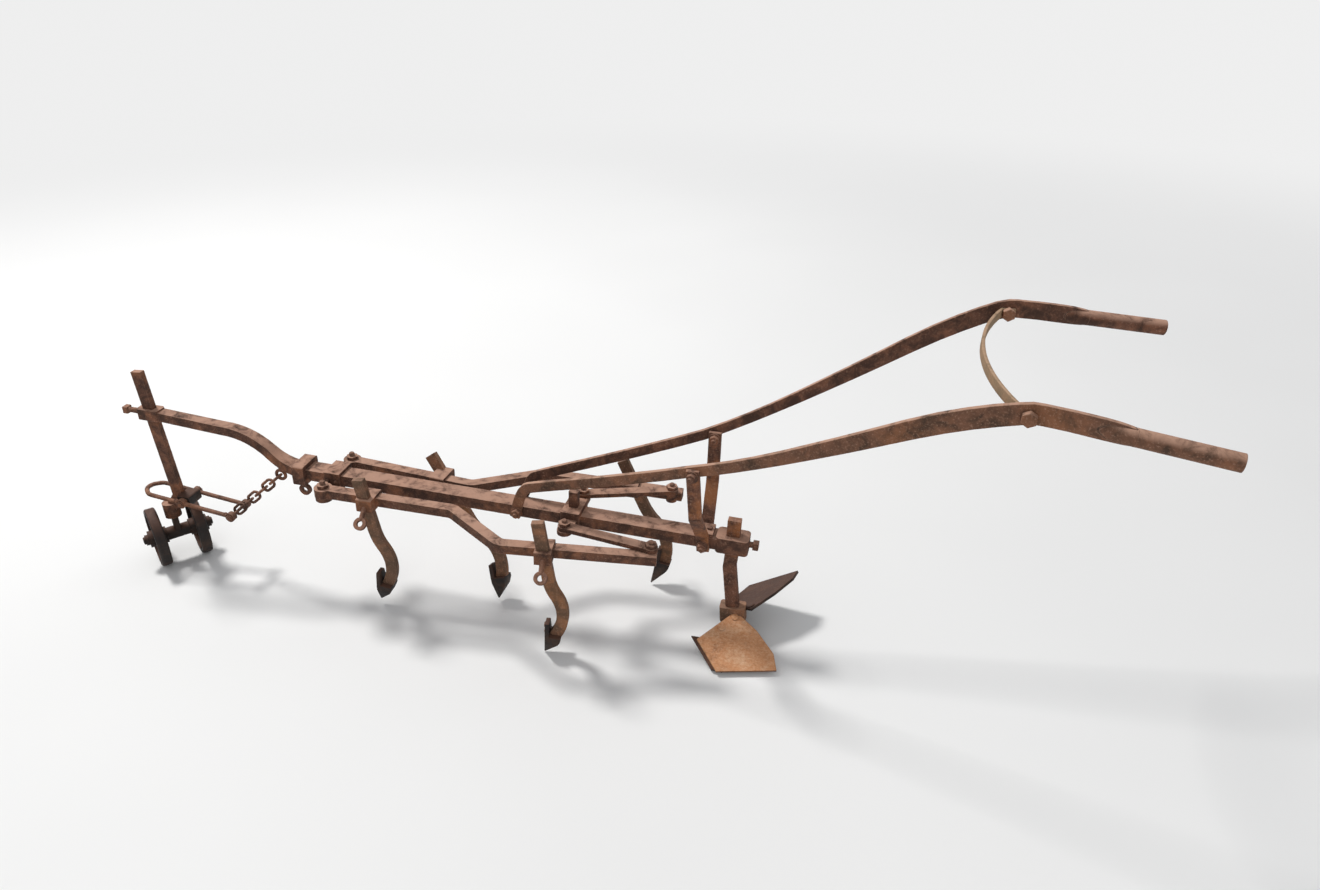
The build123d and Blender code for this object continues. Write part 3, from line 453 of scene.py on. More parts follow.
class Finish:
    """One material and the nodes that are laid out for it."""

    def __init__(self, name):
        self.material = bpy.data.materials.new(name)
        self.material.use_nodes = True
        self.tree = self.material.node_tree
        self.tree.nodes.clear()

    def node(self, kind, settings=None, inputs=None):
        """A node with its settings made first and then its sockets filled or joined."""
        node = self.tree.nodes.new(kind)
        for name, value in (settings or {}).items():
            setattr(node, name, value)
        for key, value in (inputs or {}).items():
            socket = node.inputs[key]
            if isinstance(value, Wire):
                value = value.socket
            if isinstance(value, bpy.types.NodeSocket):
                self.tree.links.new(value, socket)
            elif socket.type == "RGBA" and len(value) == 3:
                socket.default_value = (*value, 1.0)
            else:
                socket.default_value = value
        return node

    def wire(self, kind, output, settings=None, inputs=None):
        """One output of a new node, ready for sums and products."""
        return Wire(self, self.node(kind, settings, inputs).outputs[output])

    def noise(self, where, scale, detail=4.0, roughness=0.55, distortion=0.0):
        """Cloudy noise between 0 and 1."""
        sockets = {
            "Vector": where,
            "Scale": scale,
            "Detail": detail,
            "Roughness": roughness,
            "Distortion": distortion,
        }
        return self.wire("ShaderNodeTexNoise", "Fac", None, sockets)

    def placed(self, turn=(0, 0, 0), stretch=(1, 1, 1), shift=(0, 0, 0)):
        """Object coordinates, shifted, turned and stretched."""
        space = self.node("ShaderNodeTexCoord").outputs["Object"]
        turn = [radians(angle) for angle in turn]
        sockets = {"Vector": space, "Location": shift, "Rotation": turn, "Scale": stretch}
        return self.node("ShaderNodeMapping", None, sockets).outputs["Vector"]

    def band(self, value, low, high, top=1.0):
        """0 below low, top above high, and a smooth step between them."""
        settings = {"interpolation_type": "SMOOTHSTEP"}
        sockets = {"Value": value, "From Min": low, "From Max": high, "To Min": 0.0, "To Max": top}
        return self.wire("ShaderNodeMapRange", "Result", settings, sockets)

    def blended(self, share, first, second):
        """Two colours mixed by a share: sockets 6, 7 and 2 are the Mix node's colours."""
        node = self.node("ShaderNodeMix", {"data_type": "RGBA"}, {0: share, 6: first, 7: second})
        return node.outputs[2]

    def edge_wear(self, radius):
        """A mask that is high where the surface turns a corner, and the rounded direction there."""
        soft = self.node("ShaderNodeBevel", {"samples": 6}, {"Radius": radius}).outputs["Normal"]
        hard = self.node("ShaderNodeNewGeometry").outputs["True Normal"]
        settings = {"operation": "DOT_PRODUCT"}
        match = self.wire("ShaderNodeVectorMath", "Value", settings, {0: soft, 1: hard})
        return 1.0 - match, soft

    def facing_up(self):
        """The upward part of the surface's own direction."""
        own = self.node("ShaderNodeTexCoord").outputs["Normal"]
        return self.wire("ShaderNodeSeparateXYZ", "Z", None, {"Vector": own})

    def shade(self, colour, roughness, height, depth, rounded):
        """Ends the tree in a surface with its relief."""
        relief = {"Strength": 0.9, "Distance": depth, "Height": height, "Normal": rounded}
        bump = self.node("ShaderNodeBump", None, relief)
        sockets = {
            "Base Color": colour,
            "Roughness": roughness,
            "Specular IOR Level": 0.3,
            "Normal": bump.outputs["Normal"],
        }
        surface = self.node("ShaderNodeBsdfPrincipled", None, sockets)
        self.node("ShaderNodeOutputMaterial", None, {"Surface": surface.outputs["BSDF"]})


def weathered_bar(name, colours, shift, fresh=0.35, darkness=0.5, dust_and_top_light=0.5, pale=0.0, sides=0.5):
    """Old rust on forged bars: umber and brown patches, fresh orange, pits, pale dust with painted
    top light on top.

    Fresh is the share of orange, darkness that of umber patches, the dust share that of pale crust
    and painted top light on upward faces, pale a tan film all over, and sides that of painted side
    shade, umber on upright faces.
    """
    crust, brown, umber = colours.crust[:], colours.brown[:], colours.umber[:]
    finish = Finish(name)
    where = finish.placed(shift=shift)
    patches = finish.noise(where, 9.0, 5.0, 0.6)
    clouds = finish.noise(where, 34.0, 6.0, 0.62, 0.6)
    grain = finish.noise(where, 260.0, 5.0, 0.7)
    cells = {"Vector": where, "Scale": 210.0}
    flakes = finish.wire("ShaderNodeTexVoronoi", "Distance", None, cells)
    base = finish.blended(finish.band(clouds, 0.30, 0.62), umber, brown)
    dark = finish.band(patches, 0.62, 0.42 - 0.1 * darkness, darkness)
    base = finish.blended(dark, base, umber)
    bloom = finish.band(patches + 0.35 * clouds, 0.66, 0.86, fresh)
    base = finish.blended(bloom, base, colours.orange[:])
    base = finish.blended(finish.band(grain, 0.5, 0.72, 0.55), base, crust)
    upward = finish.facing_up()
    # Painted side shade: upright faces darken to umber in cloudy patches
    painted_side_shade = finish.band(upward, 0.45, -0.1, sides) * finish.band(clouds, 0.75, 0.3)
    base = finish.blended(painted_side_shade, base, umber)
    # Pale dust and painted top light: upward faces lighten to the crust colour in cloudy patches
    top = finish.band(upward, 0.2, 0.95, dust_and_top_light) * finish.band(clouds, 0.25, 0.6)
    base = finish.blended(top, base, crust)
    pits = finish.band(flakes, 0.16, 0.02)
    base = finish.blended(pits * finish.band(clouds, 0.62, 0.4, 0.6), base, umber)
    wear, rounded = finish.edge_wear(2.2 * MM)
    base = finish.blended(finish.band(wear * (0.5 + clouds), 0.03, 0.28, 0.42), base, crust)
    if pale:
        base = finish.blended(pale, base, colours.lichen[:])
    roughness = finish.band(grain, 0.2, 0.8, 0.22) + 0.72
    height = grain * 0.5 + clouds * 0.9 - pits * 0.5
    finish.shade(base, roughness, height, 1.3 * MM, rounded)


def scoured_plate(name, colours, shift, turn):
    """Soil-worn plate with bright rust, run marks along it, darker stains and painted shade on
    faces turned down.
    """
    light, dark, umber = colours.scoured_light[:], colours.scoured_dark[:], colours.umber[:]
    finish = Finish(name)
    where = finish.placed(shift=shift)
    along = finish.placed(turn=turn, stretch=(7, 90, 90), shift=shift)
    clouds = finish.noise(where, 16.0, 6.0, 0.6, 0.4)
    grain = finish.noise(where, 170.0, 5.0, 0.75)
    scratches = finish.noise(along, 6.0, 4.0, 0.6)
    base = finish.blended(finish.band(clouds, 0.26, 0.5), dark, colours.scoured[:])
    base = finish.blended(finish.band(clouds + 0.2 * grain, 0.62, 0.82, 0.75), base, light)
    base = finish.blended(finish.band(grain, 0.46, 0.66, 0.45), base, light)
    base = finish.blended(finish.band(grain, 0.46, 0.32, 0.35), base, dark)
    base = finish.blended(finish.band(scratches, 0.56, 0.7, 0.6), base, light)
    base = finish.blended(finish.band(scratches, 0.42, 0.3, 0.4), base, dark)
    # Painted shade: faces turned downwards go umber
    base = finish.blended(finish.band(finish.facing_up(), 0.1, -0.5, 0.8), base, umber)
    wear, rounded = finish.edge_wear(1.6 * MM)
    base = finish.blended(finish.band(wear, 0.03, 0.25, 0.4), base, umber)
    roughness = finish.band(clouds, 0.25, 0.75, 0.2) + 0.6
    height = grain * 0.5 + scratches * 0.4 + clouds * 0.5
    finish.shade(base, roughness, height, 0.8 * MM, rounded)


def dark_iron(name, colours, shift, bloom=0.5, worn=0.3):
    """Near-black cast or worn iron with thin rust in its hollows and brown, worn edges."""
    bare, rust, brown = colours.iron[:], colours.iron_rust[:], colours.brown[:]
    finish = Finish(name)
    where = finish.placed(shift=shift)
    clouds = finish.noise(where, 26.0, 6.0, 0.62, 0.3)
    grain = finish.noise(where, 240.0, 5.0, 0.7)
    base = finish.blended(finish.band(clouds, 0.40, 0.68, bloom), bare, rust)
    base = finish.blended(finish.band(grain, 0.52, 0.75, 0.4), base, rust)
    # Painted top light: upward faces turn brown
    base = finish.blended(finish.band(finish.facing_up(), 0.3, 1.0, 0.35), base, brown)
    wear, rounded = finish.edge_wear(2.0 * MM)
    base = finish.blended(finish.band(wear * (0.6 + clouds), 0.04, 0.3, worn), base, brown)
    roughness = finish.band(grain, 0.2, 0.8, 0.25) + 0.55
    height = grain * 0.7 + clouds * 0.6
    finish.shade(base, roughness, height, 1.0 * MM, rounded)


# Grey of the sky and of the far floor as the camera sees them
BACKDROP = (0.86, 0.86, 0.86)


def studio_floor(colour):
    """A plain pale floor that runs into the backdrop where it is far away."""
    finish = Finish("studio_floor")
    where = finish.placed()
    cloud = finish.noise(where, 0.6, 2.0)
    darker = [0.97 * level for level in colour]
    shade = finish.blended(finish.band(cloud, 0.3, 0.7), darker, colour)
    surface = finish.node("ShaderNodeBsdfPrincipled", None, {"Base Color": shade, "Roughness": 0.9})
    away = finish.wire("ShaderNodeVectorMath", "Value", {"operation": "LENGTH"}, {0: where})
    path = finish.node("ShaderNodeLightPath").outputs
    seen = Wire(finish, path["Is Camera Ray"]).most(Wire(finish, path["Is Glossy Ray"]))
    glow = finish.node("ShaderNodeEmission", None, {"Color": BACKDROP, "Strength": 1.0})
    sockets = {
        0: finish.band(away, 2.2, 6.5) * seen,
        1: surface.outputs["BSDF"],
        2: glow.outputs["Emission"],
    }
    mixed = finish.node("ShaderNodeMixShader", None, sockets)
    finish.node("ShaderNodeOutputMaterial", None, {"Surface": mixed.outputs["Shader"]})
    return finish.material


def soft_sky():
    """An even sky that lights the object softly and is seen as plain pale grey."""
    sky = bpy.data.worlds.new("soft_sky")
    sky.use_nodes = True
    nodes, links = sky.node_tree.nodes, sky.node_tree.links
    light = nodes["Background"]
    light.inputs["Color"].default_value = (0.92, 0.95, 1.0, 1.0)
    light.inputs["Strength"].default_value = 0.42
    plain = nodes.new("ShaderNodeBackground")
    plain.inputs["Color"].default_value = (*BACKDROP, 1.0)
    plain.inputs["Strength"].default_value = 1.0
    path = nodes.new("ShaderNodeLightPath")
    mixed = nodes.new("ShaderNodeMixShader")
    links.new(path.outputs["Is Camera Ray"], mixed.inputs[0])
    links.new(light.outputs[0], mixed.inputs[1])
    links.new(plain.outputs[0], mixed.inputs[2])
    links.new(mixed.outputs[0], nodes["World Output"].inputs["Surface"])
    return sky


def dressed(node, finish):
    """Gives a node of the frame its finish."""
    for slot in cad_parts[node].material_slots:
        slot.material = bpy.data.materials[finish]


# Rust of the bars and fittings, with painted top light and painted side shade. Columns: name, shift
# of the pattern, shares of its parts
BAR_FINISHES = [
    ("beam_rust", (0.3, 0.1, 0.7), dict(dust_and_top_light=0.8, sides=0.75)),
    ("arm_rust", (1.3, 2.1, 0.2), dict(fresh=0.45, dust_and_top_light=0.85, sides=0.55)),
    (
        "handle_rust",
        (3.1, 0.6, 1.9),
        dict(fresh=0.3, darkness=0.25, dust_and_top_light=0.95, pale=0.05, sides=0.05),
    ),
    # The far handle's rust is a darker copy of the handle's, as painted shade: more umber patches
    # and umber on its faces
    (
        "far_handle_rust",
        (3.6, 1.6, 0.8),
        dict(fresh=0.1, darkness=0.6, dust_and_top_light=0.95, sides=0.95),
    ),
    (
        "hoop_rust",
        (6.1, 2.6, 0.9),
        dict(fresh=0.15, darkness=0.4, dust_and_top_light=0.9, pale=0.42, sides=0.2),
    ),
    ("upright_rust", (5.2, 1.1, 0.4), dict(fresh=0.9, darkness=0.3, sides=0.1)),
    (
        "tine_rust",
        (2.4, 3.2, 1.5),
        dict(fresh=0.55, darkness=0.6, dust_and_top_light=0.4, pale=0.1, sides=0.3),
    ),
    ("chain_rust", (4.4, 0.9, 2.8), dict(fresh=0.25, darkness=0.85, dust_and_top_light=0.3)),
    ("fitting_rust", (0.9, 4.1, 3.3), dict(fresh=0.25, darkness=0.8, dust_and_top_light=0.35)),
]


# The arms and tines as the frame holds them
PIVOT_STATION = 612
PIVOT_OFFSET = 70
ARM_MIDDLE = -2.7
ARM_WIDTH = 26
# The straight stretches of each arm, as station and distance from the beam's middle
ARM_LINES = {
    1: [((PIVOT_STATION, PIVOT_OFFSET), (289, 62)), ((138, 160), (-206, 108))],
    -1: [((PIVOT_STATION, PIVOT_OFFSET), (289, 50)), ((138, 152), (-206, 162))],
}
TINE_THICKNESS = 15
TINE_LENGTH = 27
# Place of a shank's end, seen from where the shank passes its arm
TINE_FOOT = (-22, 0, -226)
# Half height of a tine's clamp, which a splayed tine clears
CLAMP_RISE = 11
POINT_THICKNESS = 8

# Lean, splay and turn of the point in degrees, set down and reach of the point in mm
Tine = namedtuple("Tine", "side place station lean splay drop turn reach")
TINES = [
    Tine(1, "front", 492, 0.5, 3.0, 10, 0, 53),
    Tine(1, "rear", 36, 0.0, 1.5, -4, 0, 54),
    Tine(-1, "front", 372, 32.0, 15.0, 58, 10, 53),
    Tine(-1, "rear", -80, 19.0, 9.0, -5, 24, 66),
]


def on_arm(side, station):
    """A place on an arm's middle, x forwards along the arm, z up."""
    for (near_station, near_offset), (far_station, far_offset) in ARM_LINES[side]:
        if far_station <= station <= near_station:
            slope = (near_offset - far_offset) / (near_station - far_station)
            offset = far_offset + slope * (station - far_station)
            heading = side * degrees(atan2(slope, 1))
            return on_beam(station, side * offset, ARM_MIDDLE) @ spun(z=heading)
    raise ValueError("no straight stretch of the arm at this station")


def on_foot(tine):
    """The end of a tine's shank, z up the shank."""
    clearance = 2 * SEAT + CLAMP_RISE * tan(radians(tine.splay))
    out = (ARM_WIDTH + TINE_THICKNESS) / 2 + clearance
    turn = spun(x=-tine.side * tine.splay, y=tine.lean)
    middle = on_arm(tine.side, tine.station) @ moved(0, tine.side * out, 0) @ turn
    return middle @ moved(0, 0, -tine.drop) @ moved(*TINE_FOOT)


# Operators, one for each piece or group of like pieces


class RIDGER_OT_finishes(bpy.types.Operator):
    """Mix the finishes: rust, scoured plate and dark iron"""

    bl_idname = "ridger.finishes"
    bl_label = "Mix the finishes"

    def execute(self, context):
        colours = context.scene.ridger_colours
        for name, shift, shares in BAR_FINISHES:
            weathered_bar(name, colours, shift, **shares)
        scoured_plate("wing_plate", colours, (0.2, 0.4, 0.1), (0, 0, 14))
        # The far wing's plate is dark iron as painted shade, where the near wing is scoured plate
        dark_iron("dark_wing_plate", colours, (1.7, 0.8, 0.6), bloom=0.7, worn=0.3)
        dark_iron("wheel_iron", colours, (1.0, 0.2, 0.5))
        dark_iron("point_iron", colours, (2.0, 1.2, 0.8), bloom=0.7, worn=0.5)
        return {"FINISHED"}


# Seats on the beam: the saddle, the tops of the arms' pins and the faces of the strap
SADDLE_STATION = -292
SADDLE_THICKNESS = 10
PIVOT_TOP = 16.4
STRAP_FACE = 30.4


class RIDGER_OT_beam(bpy.types.Operator):
    """Dress the beam, its cross plate and collar, and bolt the saddle down"""

    bl_idname = "ridger.beam"
    bl_label = "Beam"

    def execute(self, context):
        for node in ("main_beam", "cross_plate", "front_collar", "upright_saddle"):
            dressed(node, "beam_rust")
        for node in ("collar_eye_screw", "front_set_screw", "rear_set_screw"):
            dressed(node, "fitting_rust")
        top = BEAM_HALF_DEPTH + SADDLE_THICKNESS + SEAT
        saddle = [on_beam(SADDLE_STATION + step, 0, top) for step in (-10, 10)]
        heads = copies(hex_nut(width=14 * MM, height=5 * MM), saddle)
        fitted(heads, "saddle_bolts", "frame", "fitting_rust")
        pivots = [on_beam(PIVOT_STATION, side * PIVOT_OFFSET, PIVOT_TOP) for side in SIDES]
        ends = copies(thread(diameter=13.5 * MM, length=9 * MM, turns=4), pivots)
        fitted(ends, "pivot_threads", "frame", "fitting_rust")
        strap = [
            on_beam(PIVOT_STATION + step, side * STRAP_FACE, 0) @ OUTWARDS[side]
            for side in SIDES
            for step in (-11, 11)
        ]
        rivets = copies(round_plate(diameter=11 * MM, height=3 * MM, crown=0.5), strap)
        fitted(rivets, "strap_rivets", "frame", "fitting_rust")
        return {"FINISHED"}


# The foot's own frame: reach along the floor, heading, and the axle's middle in it
FOOT_REACH = 1111
FOOT_HEADING = -41
AXLE_MIDDLE = (2, 0, 78)
AXLE_HALF = 80.3


class RIDGER_OT_wheel_foot(bpy.types.Operator):
    """Dress the standard, the swivelling foot and the twin wheels"""

    bl_idname = "ridger.wheel_foot"
    bl_label = "Wheel foot"

    def execute(self, context):
        dressed("wheel_standard", "beam_rust")
        dressed("bail_block", "point_iron")
        for node in ("wheel_yoke", "wheel_axle"):
            dressed(node, "wheel_iron")
        for word in SIDES.values():
            dressed(f"{word}_wheel", "wheel_iron")
        axle = moved(FOOT_REACH, 0, 0) @ spun(z=FOOT_HEADING) @ moved(*AXLE_MIDDLE)
        ends = [axle @ moved(0, side * AXLE_HALF, 0) @ OUTWARDS[side] for side in SIDES]
        caps = copies(round_plate(diameter=20 * MM, height=3.5 * MM, crown=0.4), ends)
        fitted(caps, "axle_caps", "foot", "wheel_iron")
        return {"FINISHED"}


# The bail's pivot, its droop in degrees, where its pins stand along it and how far out
BAIL_PIVOT = (1045.79, 0, 191)
BAIL_DROOP = -9
BAIL_PINS = (0, -138)
BAIL_HALF = 37


class RIDGER_OT_draught(bpy.types.Operator):
    """Dress the draught bail, its chain and the chain hook, and pin the bail"""

    bl_idname = "ridger.draught"
    bl_label = "Draught bail and chain"

    def execute(self, context):
        sizes = context.scene.ridger_sizes
        for node in ("draft_bail", "draft_chain", "chain_hook"):
            dressed(node, "chain_rust")
        bail = moved(*BAIL_PIVOT) @ spun(y=BAIL_DROOP)
        seats = [
            bail @ moved(reach, side * BAIL_HALF, 0) @ OUTWARDS[side]
            for reach in BAIL_PINS
            for side in SIDES
        ]
        washers = copies(round_plate(diameter=17 * MM, height=2.2 * MM), seats)
        # Each split pin goes across its pin, just outside the washer
        holes = [
            seat @ moved(0, 0, 2.6) @ spun(z=35) @ spun(x=90) @ moved(0, 0, 5) for seat in seats
        ]
        pins = copies(split_pin(sizes, reach=13 * MM), holes)
        fitted(washers + pins, "bail_pins", "bail", "fitting_rust")
        return {"FINISHED"}


# Rings of a tine's point from its top down. Columns: height, back, front, half width
POINT_RINGS = [
    (36, 11.5, 21.5, 12),
    (4, 11.5, 21.2, 20),
    (1.5, -15, 21, 20.6),
    (-8, -14, 21.4, 21),
    (-22, -8, 22.4, 15.5),
]


def tine_point(reach):
    """A wedge-shaped point, bolted to the front of the shank and drawn under its end."""
    rings = []
    for height, back, front, half in [*POINT_RINGS, (-reach, 23.5, 26, 1.5)]:
        edges = ((back, -half), (back, half), (front, half), (front, -half))
        rings.append([(x, y, height) for x, y in edges])
    return bevelled(lofted(rings), 1.4 * MM)


class RIDGER_OT_arms(bpy.types.Operator):
    """Dress the arms, clamps and tines, and forge and bolt on their points"""

    bl_idname = "ridger.arms"
    bl_label = "Arms and tines"

    def execute(self, context):
        for side, word in SIDES.items():
            dressed(f"{word}_arm", "arm_rust")
            dressed(f"{word}_tine_clamps", "arm_rust")
            dressed(f"{word}_eye_screws", "fitting_rust")
            fronts, backs = [], []
            for tine in TINES:
                if tine.side != side:
                    continue
                dressed(f"{word}_{tine.place}_tine", "tine_rust")
                foot = on_foot(tine)
                toe = foot @ spun(y=-tine.turn)
                point = tine_point(tine.reach)
                point.data.transform(toe)
                node = f"{word}_{tine.place}_point"
                piece = fitted([point], f"{node}_forged", f"{word}_arm", "point_iron")
                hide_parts(node)
                face = TINE_LENGTH / 2 + POINT_THICKNESS
                fronts += [toe @ moved(face, 0, height) @ FORWARDS for height in (10, 26)]
                backs.append(foot @ moved(-TINE_LENGTH / 2 - 1.5, 0, 22) @ BACKWARDS)
            heads = copies(round_plate(diameter=13 * MM, height=2 * MM, crown=0.4), fronts)
            nuts = copies(small_nut(), backs)
            fitted(heads + nuts, f"{word}_point_bolts", f"{word}_arm", "tine_rust")
        return {"FINISHED"}


# Height of the studs' tops, and station and offset of each, by the body that carries it
STUD_TOP = 26.8
STUDS = {
    "spreader": [(16, 72), (16, -72)],
    "left_arm": [(-190, 97)],
    "right_arm": [(-182, -148)],
}


class RIDGER_OT_spreader(bpy.types.Operator):
    """Dress the spreader and its links and thread the studs"""

    bl_idname = "ridger.spreader"
    bl_label = "Spreader"

    def execute(self, context):
        dressed("spreader_collar", "beam_rust")
        for word in SIDES.values():
            dressed(f"{word}_link", "arm_rust")
        for body, spots in STUDS.items():
            places = [on_beam(station, offset, STUD_TOP) for station, offset in spots]
            ends = copies(thread(diameter=12.6 * MM, length=7 * MM, turns=4), places)
            fitted(ends, f"{body}_stud_threads", body, "fitting_rust")
        return {"FINISHED"}


# Middle line of a handle bar in side view, from the grip forwards. Columns: station, height
# above the beam's middle, depth of the bar
HANDLE_LINE = [
    (-1019, 523, 31),
    (-1004, 524.3, 35),
    (-973, 527, 38),
    (-893, 531, 38),
    (-839, 525, 39),
    (-722, 472, 38),
    (-560, 375, 32),
    (-400, 283, 25),
    (-260, 215, 24),
    (-70, 141, 24),
    (96, 81, 24),
    (124, 66, 24),
    (138, 38, 24),
]
# The end of each bar's foot, which goes on from that line
HANDLE_FEET = {1: (150, -12, 24), -1: (160, -12, 24)}
HANDLE_THICKNESS = 11
# The same line seen from above. Columns: station, distance from the beam's middle
HANDLE_PLAN = [(200, 27.8), (120, 27.8), (-262, 84), (-835, 244), (-1060, 274)]


def handle_offset(station):
    """Distance of a handle from the beam's middle at a station."""
    for front, rear in zip(HANDLE_PLAN, HANDLE_PLAN[1:]):
        if rear[0] <= station <= front[0]:
            share = (front[0] - station) / (front[0] - rear[0])
            return front[1] + share * (rear[1] - front[1])
    raise ValueError("no handle at this station")


def handle_bar(side):
    """A flat bar on edge, deep at the grip and drawn thin towards its bent foot."""
    line = eased([*HANDLE_LINE, HANDLE_FEET[side]], steps=3)
    bar = flat_bar(line, HANDLE_THICKNESS, lambda station: side * handle_offset(station))
    bar.data.transform(on_beam(0, 0, 0))
    return bevelled(bar, 1.8 * MM)


# How the handles spread near the grips: for each mm of station, and as an angle in degrees
HANDLE_SLOPE = 0.133
HANDLE_FLARE = 7.6

# The hoop strap: station and half width of its ends, its bow forwards and the tabs behind
HOOP_STATION = -845
HOOP_HALF = 236
HOOP_BOW = 51
HOOP_TAB = 27
HOOP_HEIGHT = 524
HOOP_WIDTH = 20
HOOP_THICKNESS = 7
HOOP_STEPS = 20


def hoop_strap():
    """The strap between the handles: a flat bow with a tab at each end."""
    radius = (HOOP_HALF**2 + HOOP_BOW**2) / (2 * HOOP_BOW)
    middle = HOOP_STATION + HOOP_BOW - radius
    sweep = atan2(HOOP_HALF, HOOP_STATION - middle)
    angles = [sweep * step / HOOP_STEPS for step in range(-HOOP_STEPS, HOOP_STEPS + 1)]
    bow = [(middle + radius * cos(angle), radius * sin(angle), HOOP_THICKNESS) for angle in angles]
    tab, end = HOOP_STATION - HOOP_TAB, HOOP_HALF + HOOP_TAB * HANDLE_SLOPE
    line = [(tab, -end, HOOP_THICKNESS), *bow, (tab, end, HOOP_THICKNESS)]
    strap = flat_bar(line, HOOP_WIDTH)
    strap.data.transform(on_beam(0, 0, HOOP_HEIGHT) @ spun(x=-90))
    return bevelled(strap, 1.4 * MM)


# Station, distance from the beam's middle and height of a grip's front and rear end
GRIP_FRONT = (-1020, 269, 523)
GRIP_REAR = (-1178, 289, 514)
# Half sizes of the shoulder: round at the grip, then tall and slim inside the bar
SHOULDER_ROUND = 16.2
SHOULDER_TALL = 16.6
SHOULDER_SLIM = 4.6
SHOULDER_RINGS = 6


def grip_shoulder(side, sizes):
    """The drawn-out end of a handle bar where it turns into its round grip."""
    front, rear = (
        on_beam(station, side * offset, height).translation
        for station, offset, height in (GRIP_FRONT, GRIP_REAR)
    )
    along = (rear - front).normalized()
    level = Vector((0, 0, 1)).cross(along).normalized()
    upward = along.cross(level)
    length = sizes.shoulder
    middle = (0, 0, -length / 2)
    shoulder = started(
        "cylinder", vertices=24, radius=SHOULDER_ROUND * MM, depth=length, location=middle
    )
    with editing(shoulder, "EDGE"):
        pick(shoulder, "edges", stands)
        bpy.ops.mesh.subdivide(number_cuts=SHOULDER_RINGS - 1)
    with editing(shoulder, "VERT"):
        for ring in range(1, SHOULDER_RINGS + 1):
            share = ring / SHOULDER_RINGS
            ease = share * share * (3 - 2 * share)
            height = -share * length
            pick(shoulder, "verts", lambda vert: abs(vert.co.z - height) < length * 0.02)
            tall = 1 + ease * (SHOULDER_TALL / SHOULDER_ROUND - 1)
            slim = 1 + ease * (SHOULDER_SLIM / SHOULDER_ROUND - 1)
            bpy.ops.transform.resize(value=(tall, slim, 1))
    turn = Matrix((upward, level, along)).transposed().to_4x4()
    shoulder.data.transform(Matrix.Translation(front) @ turn)
    return shoulder


# Faces of the handles' feet and of the uprights, as distances from the beam's middle
FOOT_FACE = BEAM_HALF_WIDTH + SEAT + HANDLE_THICKNESS
UPRIGHT_FACE = BEAM_HALF_WIDTH + SEAT + 10

# Nuts and round bolt heads. Columns: station, offset, height, heading, side that they face
HANDLE_NUTS = [
    (143, FOOT_FACE, 4, 0, 1),
    (152, -FOOT_FACE, 4, 0, -1),
    (SADDLE_STATION, UPRIGHT_FACE, -4, 0, 1),
    (SADDLE_STATION, -UPRIGHT_FACE, -4, 0, -1),
    (-271, 102.2, 214, -9, 1),
    (-286, -71.4, 214, 0, 1),
]
HANDLE_HEADS = [
    (-271, 80.8, 214, 0, -1),
    (-286, -94.6, 216, 9, -1),
]

# The hoop's nuts: their place on a handle, and how far out and in from it they sit
HOOP_BOLT = (-856, 246.8, 524)
HOOP_NUT_OUT = 5.5
HOOP_NUT_IN = 12.8


def seated(rows):
    """The seats of a table's nuts or heads."""
    return [
        on_beam(station, offset, height) @ spun(z=heading) @ OUTWARDS[way]
        for station, offset, height, heading, way in rows
    ]


class RIDGER_OT_handles(bpy.types.Operator):
    """Dress the handles, grips, uprights and hoop, and bolt them together"""

    bl_idname = "ridger.handles"
    bl_label = "Handles"

    def execute(self, context):
        sizes = context.scene.ridger_sizes
        for side, word in SIDES.items():
            # The far handle takes the darker copy of the rust, which is painted shade
            finish = "handle_rust" if side > 0 else "far_handle_rust"
            dressed(f"{word}_grip", finish)
            dressed(f"{word}_upright", "upright_rust")
            parts = [handle_bar(side), grip_shoulder(side, sizes)]
            piece = fitted(parts, f"{word}_handle_bar", "frame", finish)
            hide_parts(f"{word}_handle")
        piece = fitted([hoop_strap()], "hoop_strap", "frame", "hoop_rust")
        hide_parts("handle_hoop")
        parts = copies(nut_on_thread(sizes), seated(HANDLE_NUTS))
        head = round_plate(diameter=20 * MM, height=5 * MM, crown=0.5)
        parts += copies(head, seated(HANDLE_HEADS))
        fitted(parts, "handle_bolts", "frame", "fitting_rust")
        station, offset, height = HOOP_BOLT
        seats = []
        for side in SIDES:
            face = on_beam(station, side * offset, height) @ spun(z=-side * HANDLE_FLARE)
            seats.append(face @ moved(0, side * HOOP_NUT_OUT, 0) @ OUTWARDS[side])
            seats.append(face @ moved(0, -side * HOOP_NUT_IN, 0) @ OUTWARDS[-side])
        nuts = copies(hex_nut(sizes.hoop_nut, height=12 * MM), seats)
        fitted(nuts, "hoop_bolts", "frame", "handle_rust")
        return {"FINISHED"}


# The wings as the frame holds them, by side: front lower corner in mm, direction of the
# lower edge, upward normal
WINGS = {
    1: ((-360, 153.5, 10.5), (0.971, 0.237, 0.0), (-0.092, 0.376, 0.922)),
    -1: ((-391, -141, 35), (0.860, -0.057, -0.507), (0.489, -0.190, 0.851)),
}
WING_THICKNESS = 3
# Places of a wing's bolts, along its lower edge and across it
WING_BOLTS = ((-50, -134), (-18, -108))


def on_wing(side, along, across):
    """A place on a wing's upper face, z out of the plate."""
    corner, edge, normal = WINGS[side]
    up = Vector(normal).normalized()
    forward = Vector(edge)
    forward = (forward - forward.dot(up) * up).normalized()
    left = up.cross(forward)
    turn = Matrix((forward, left, up)).transposed().to_4x4()
    return moved(*corner) @ turn @ moved(along, side * across, WING_THICKNESS)


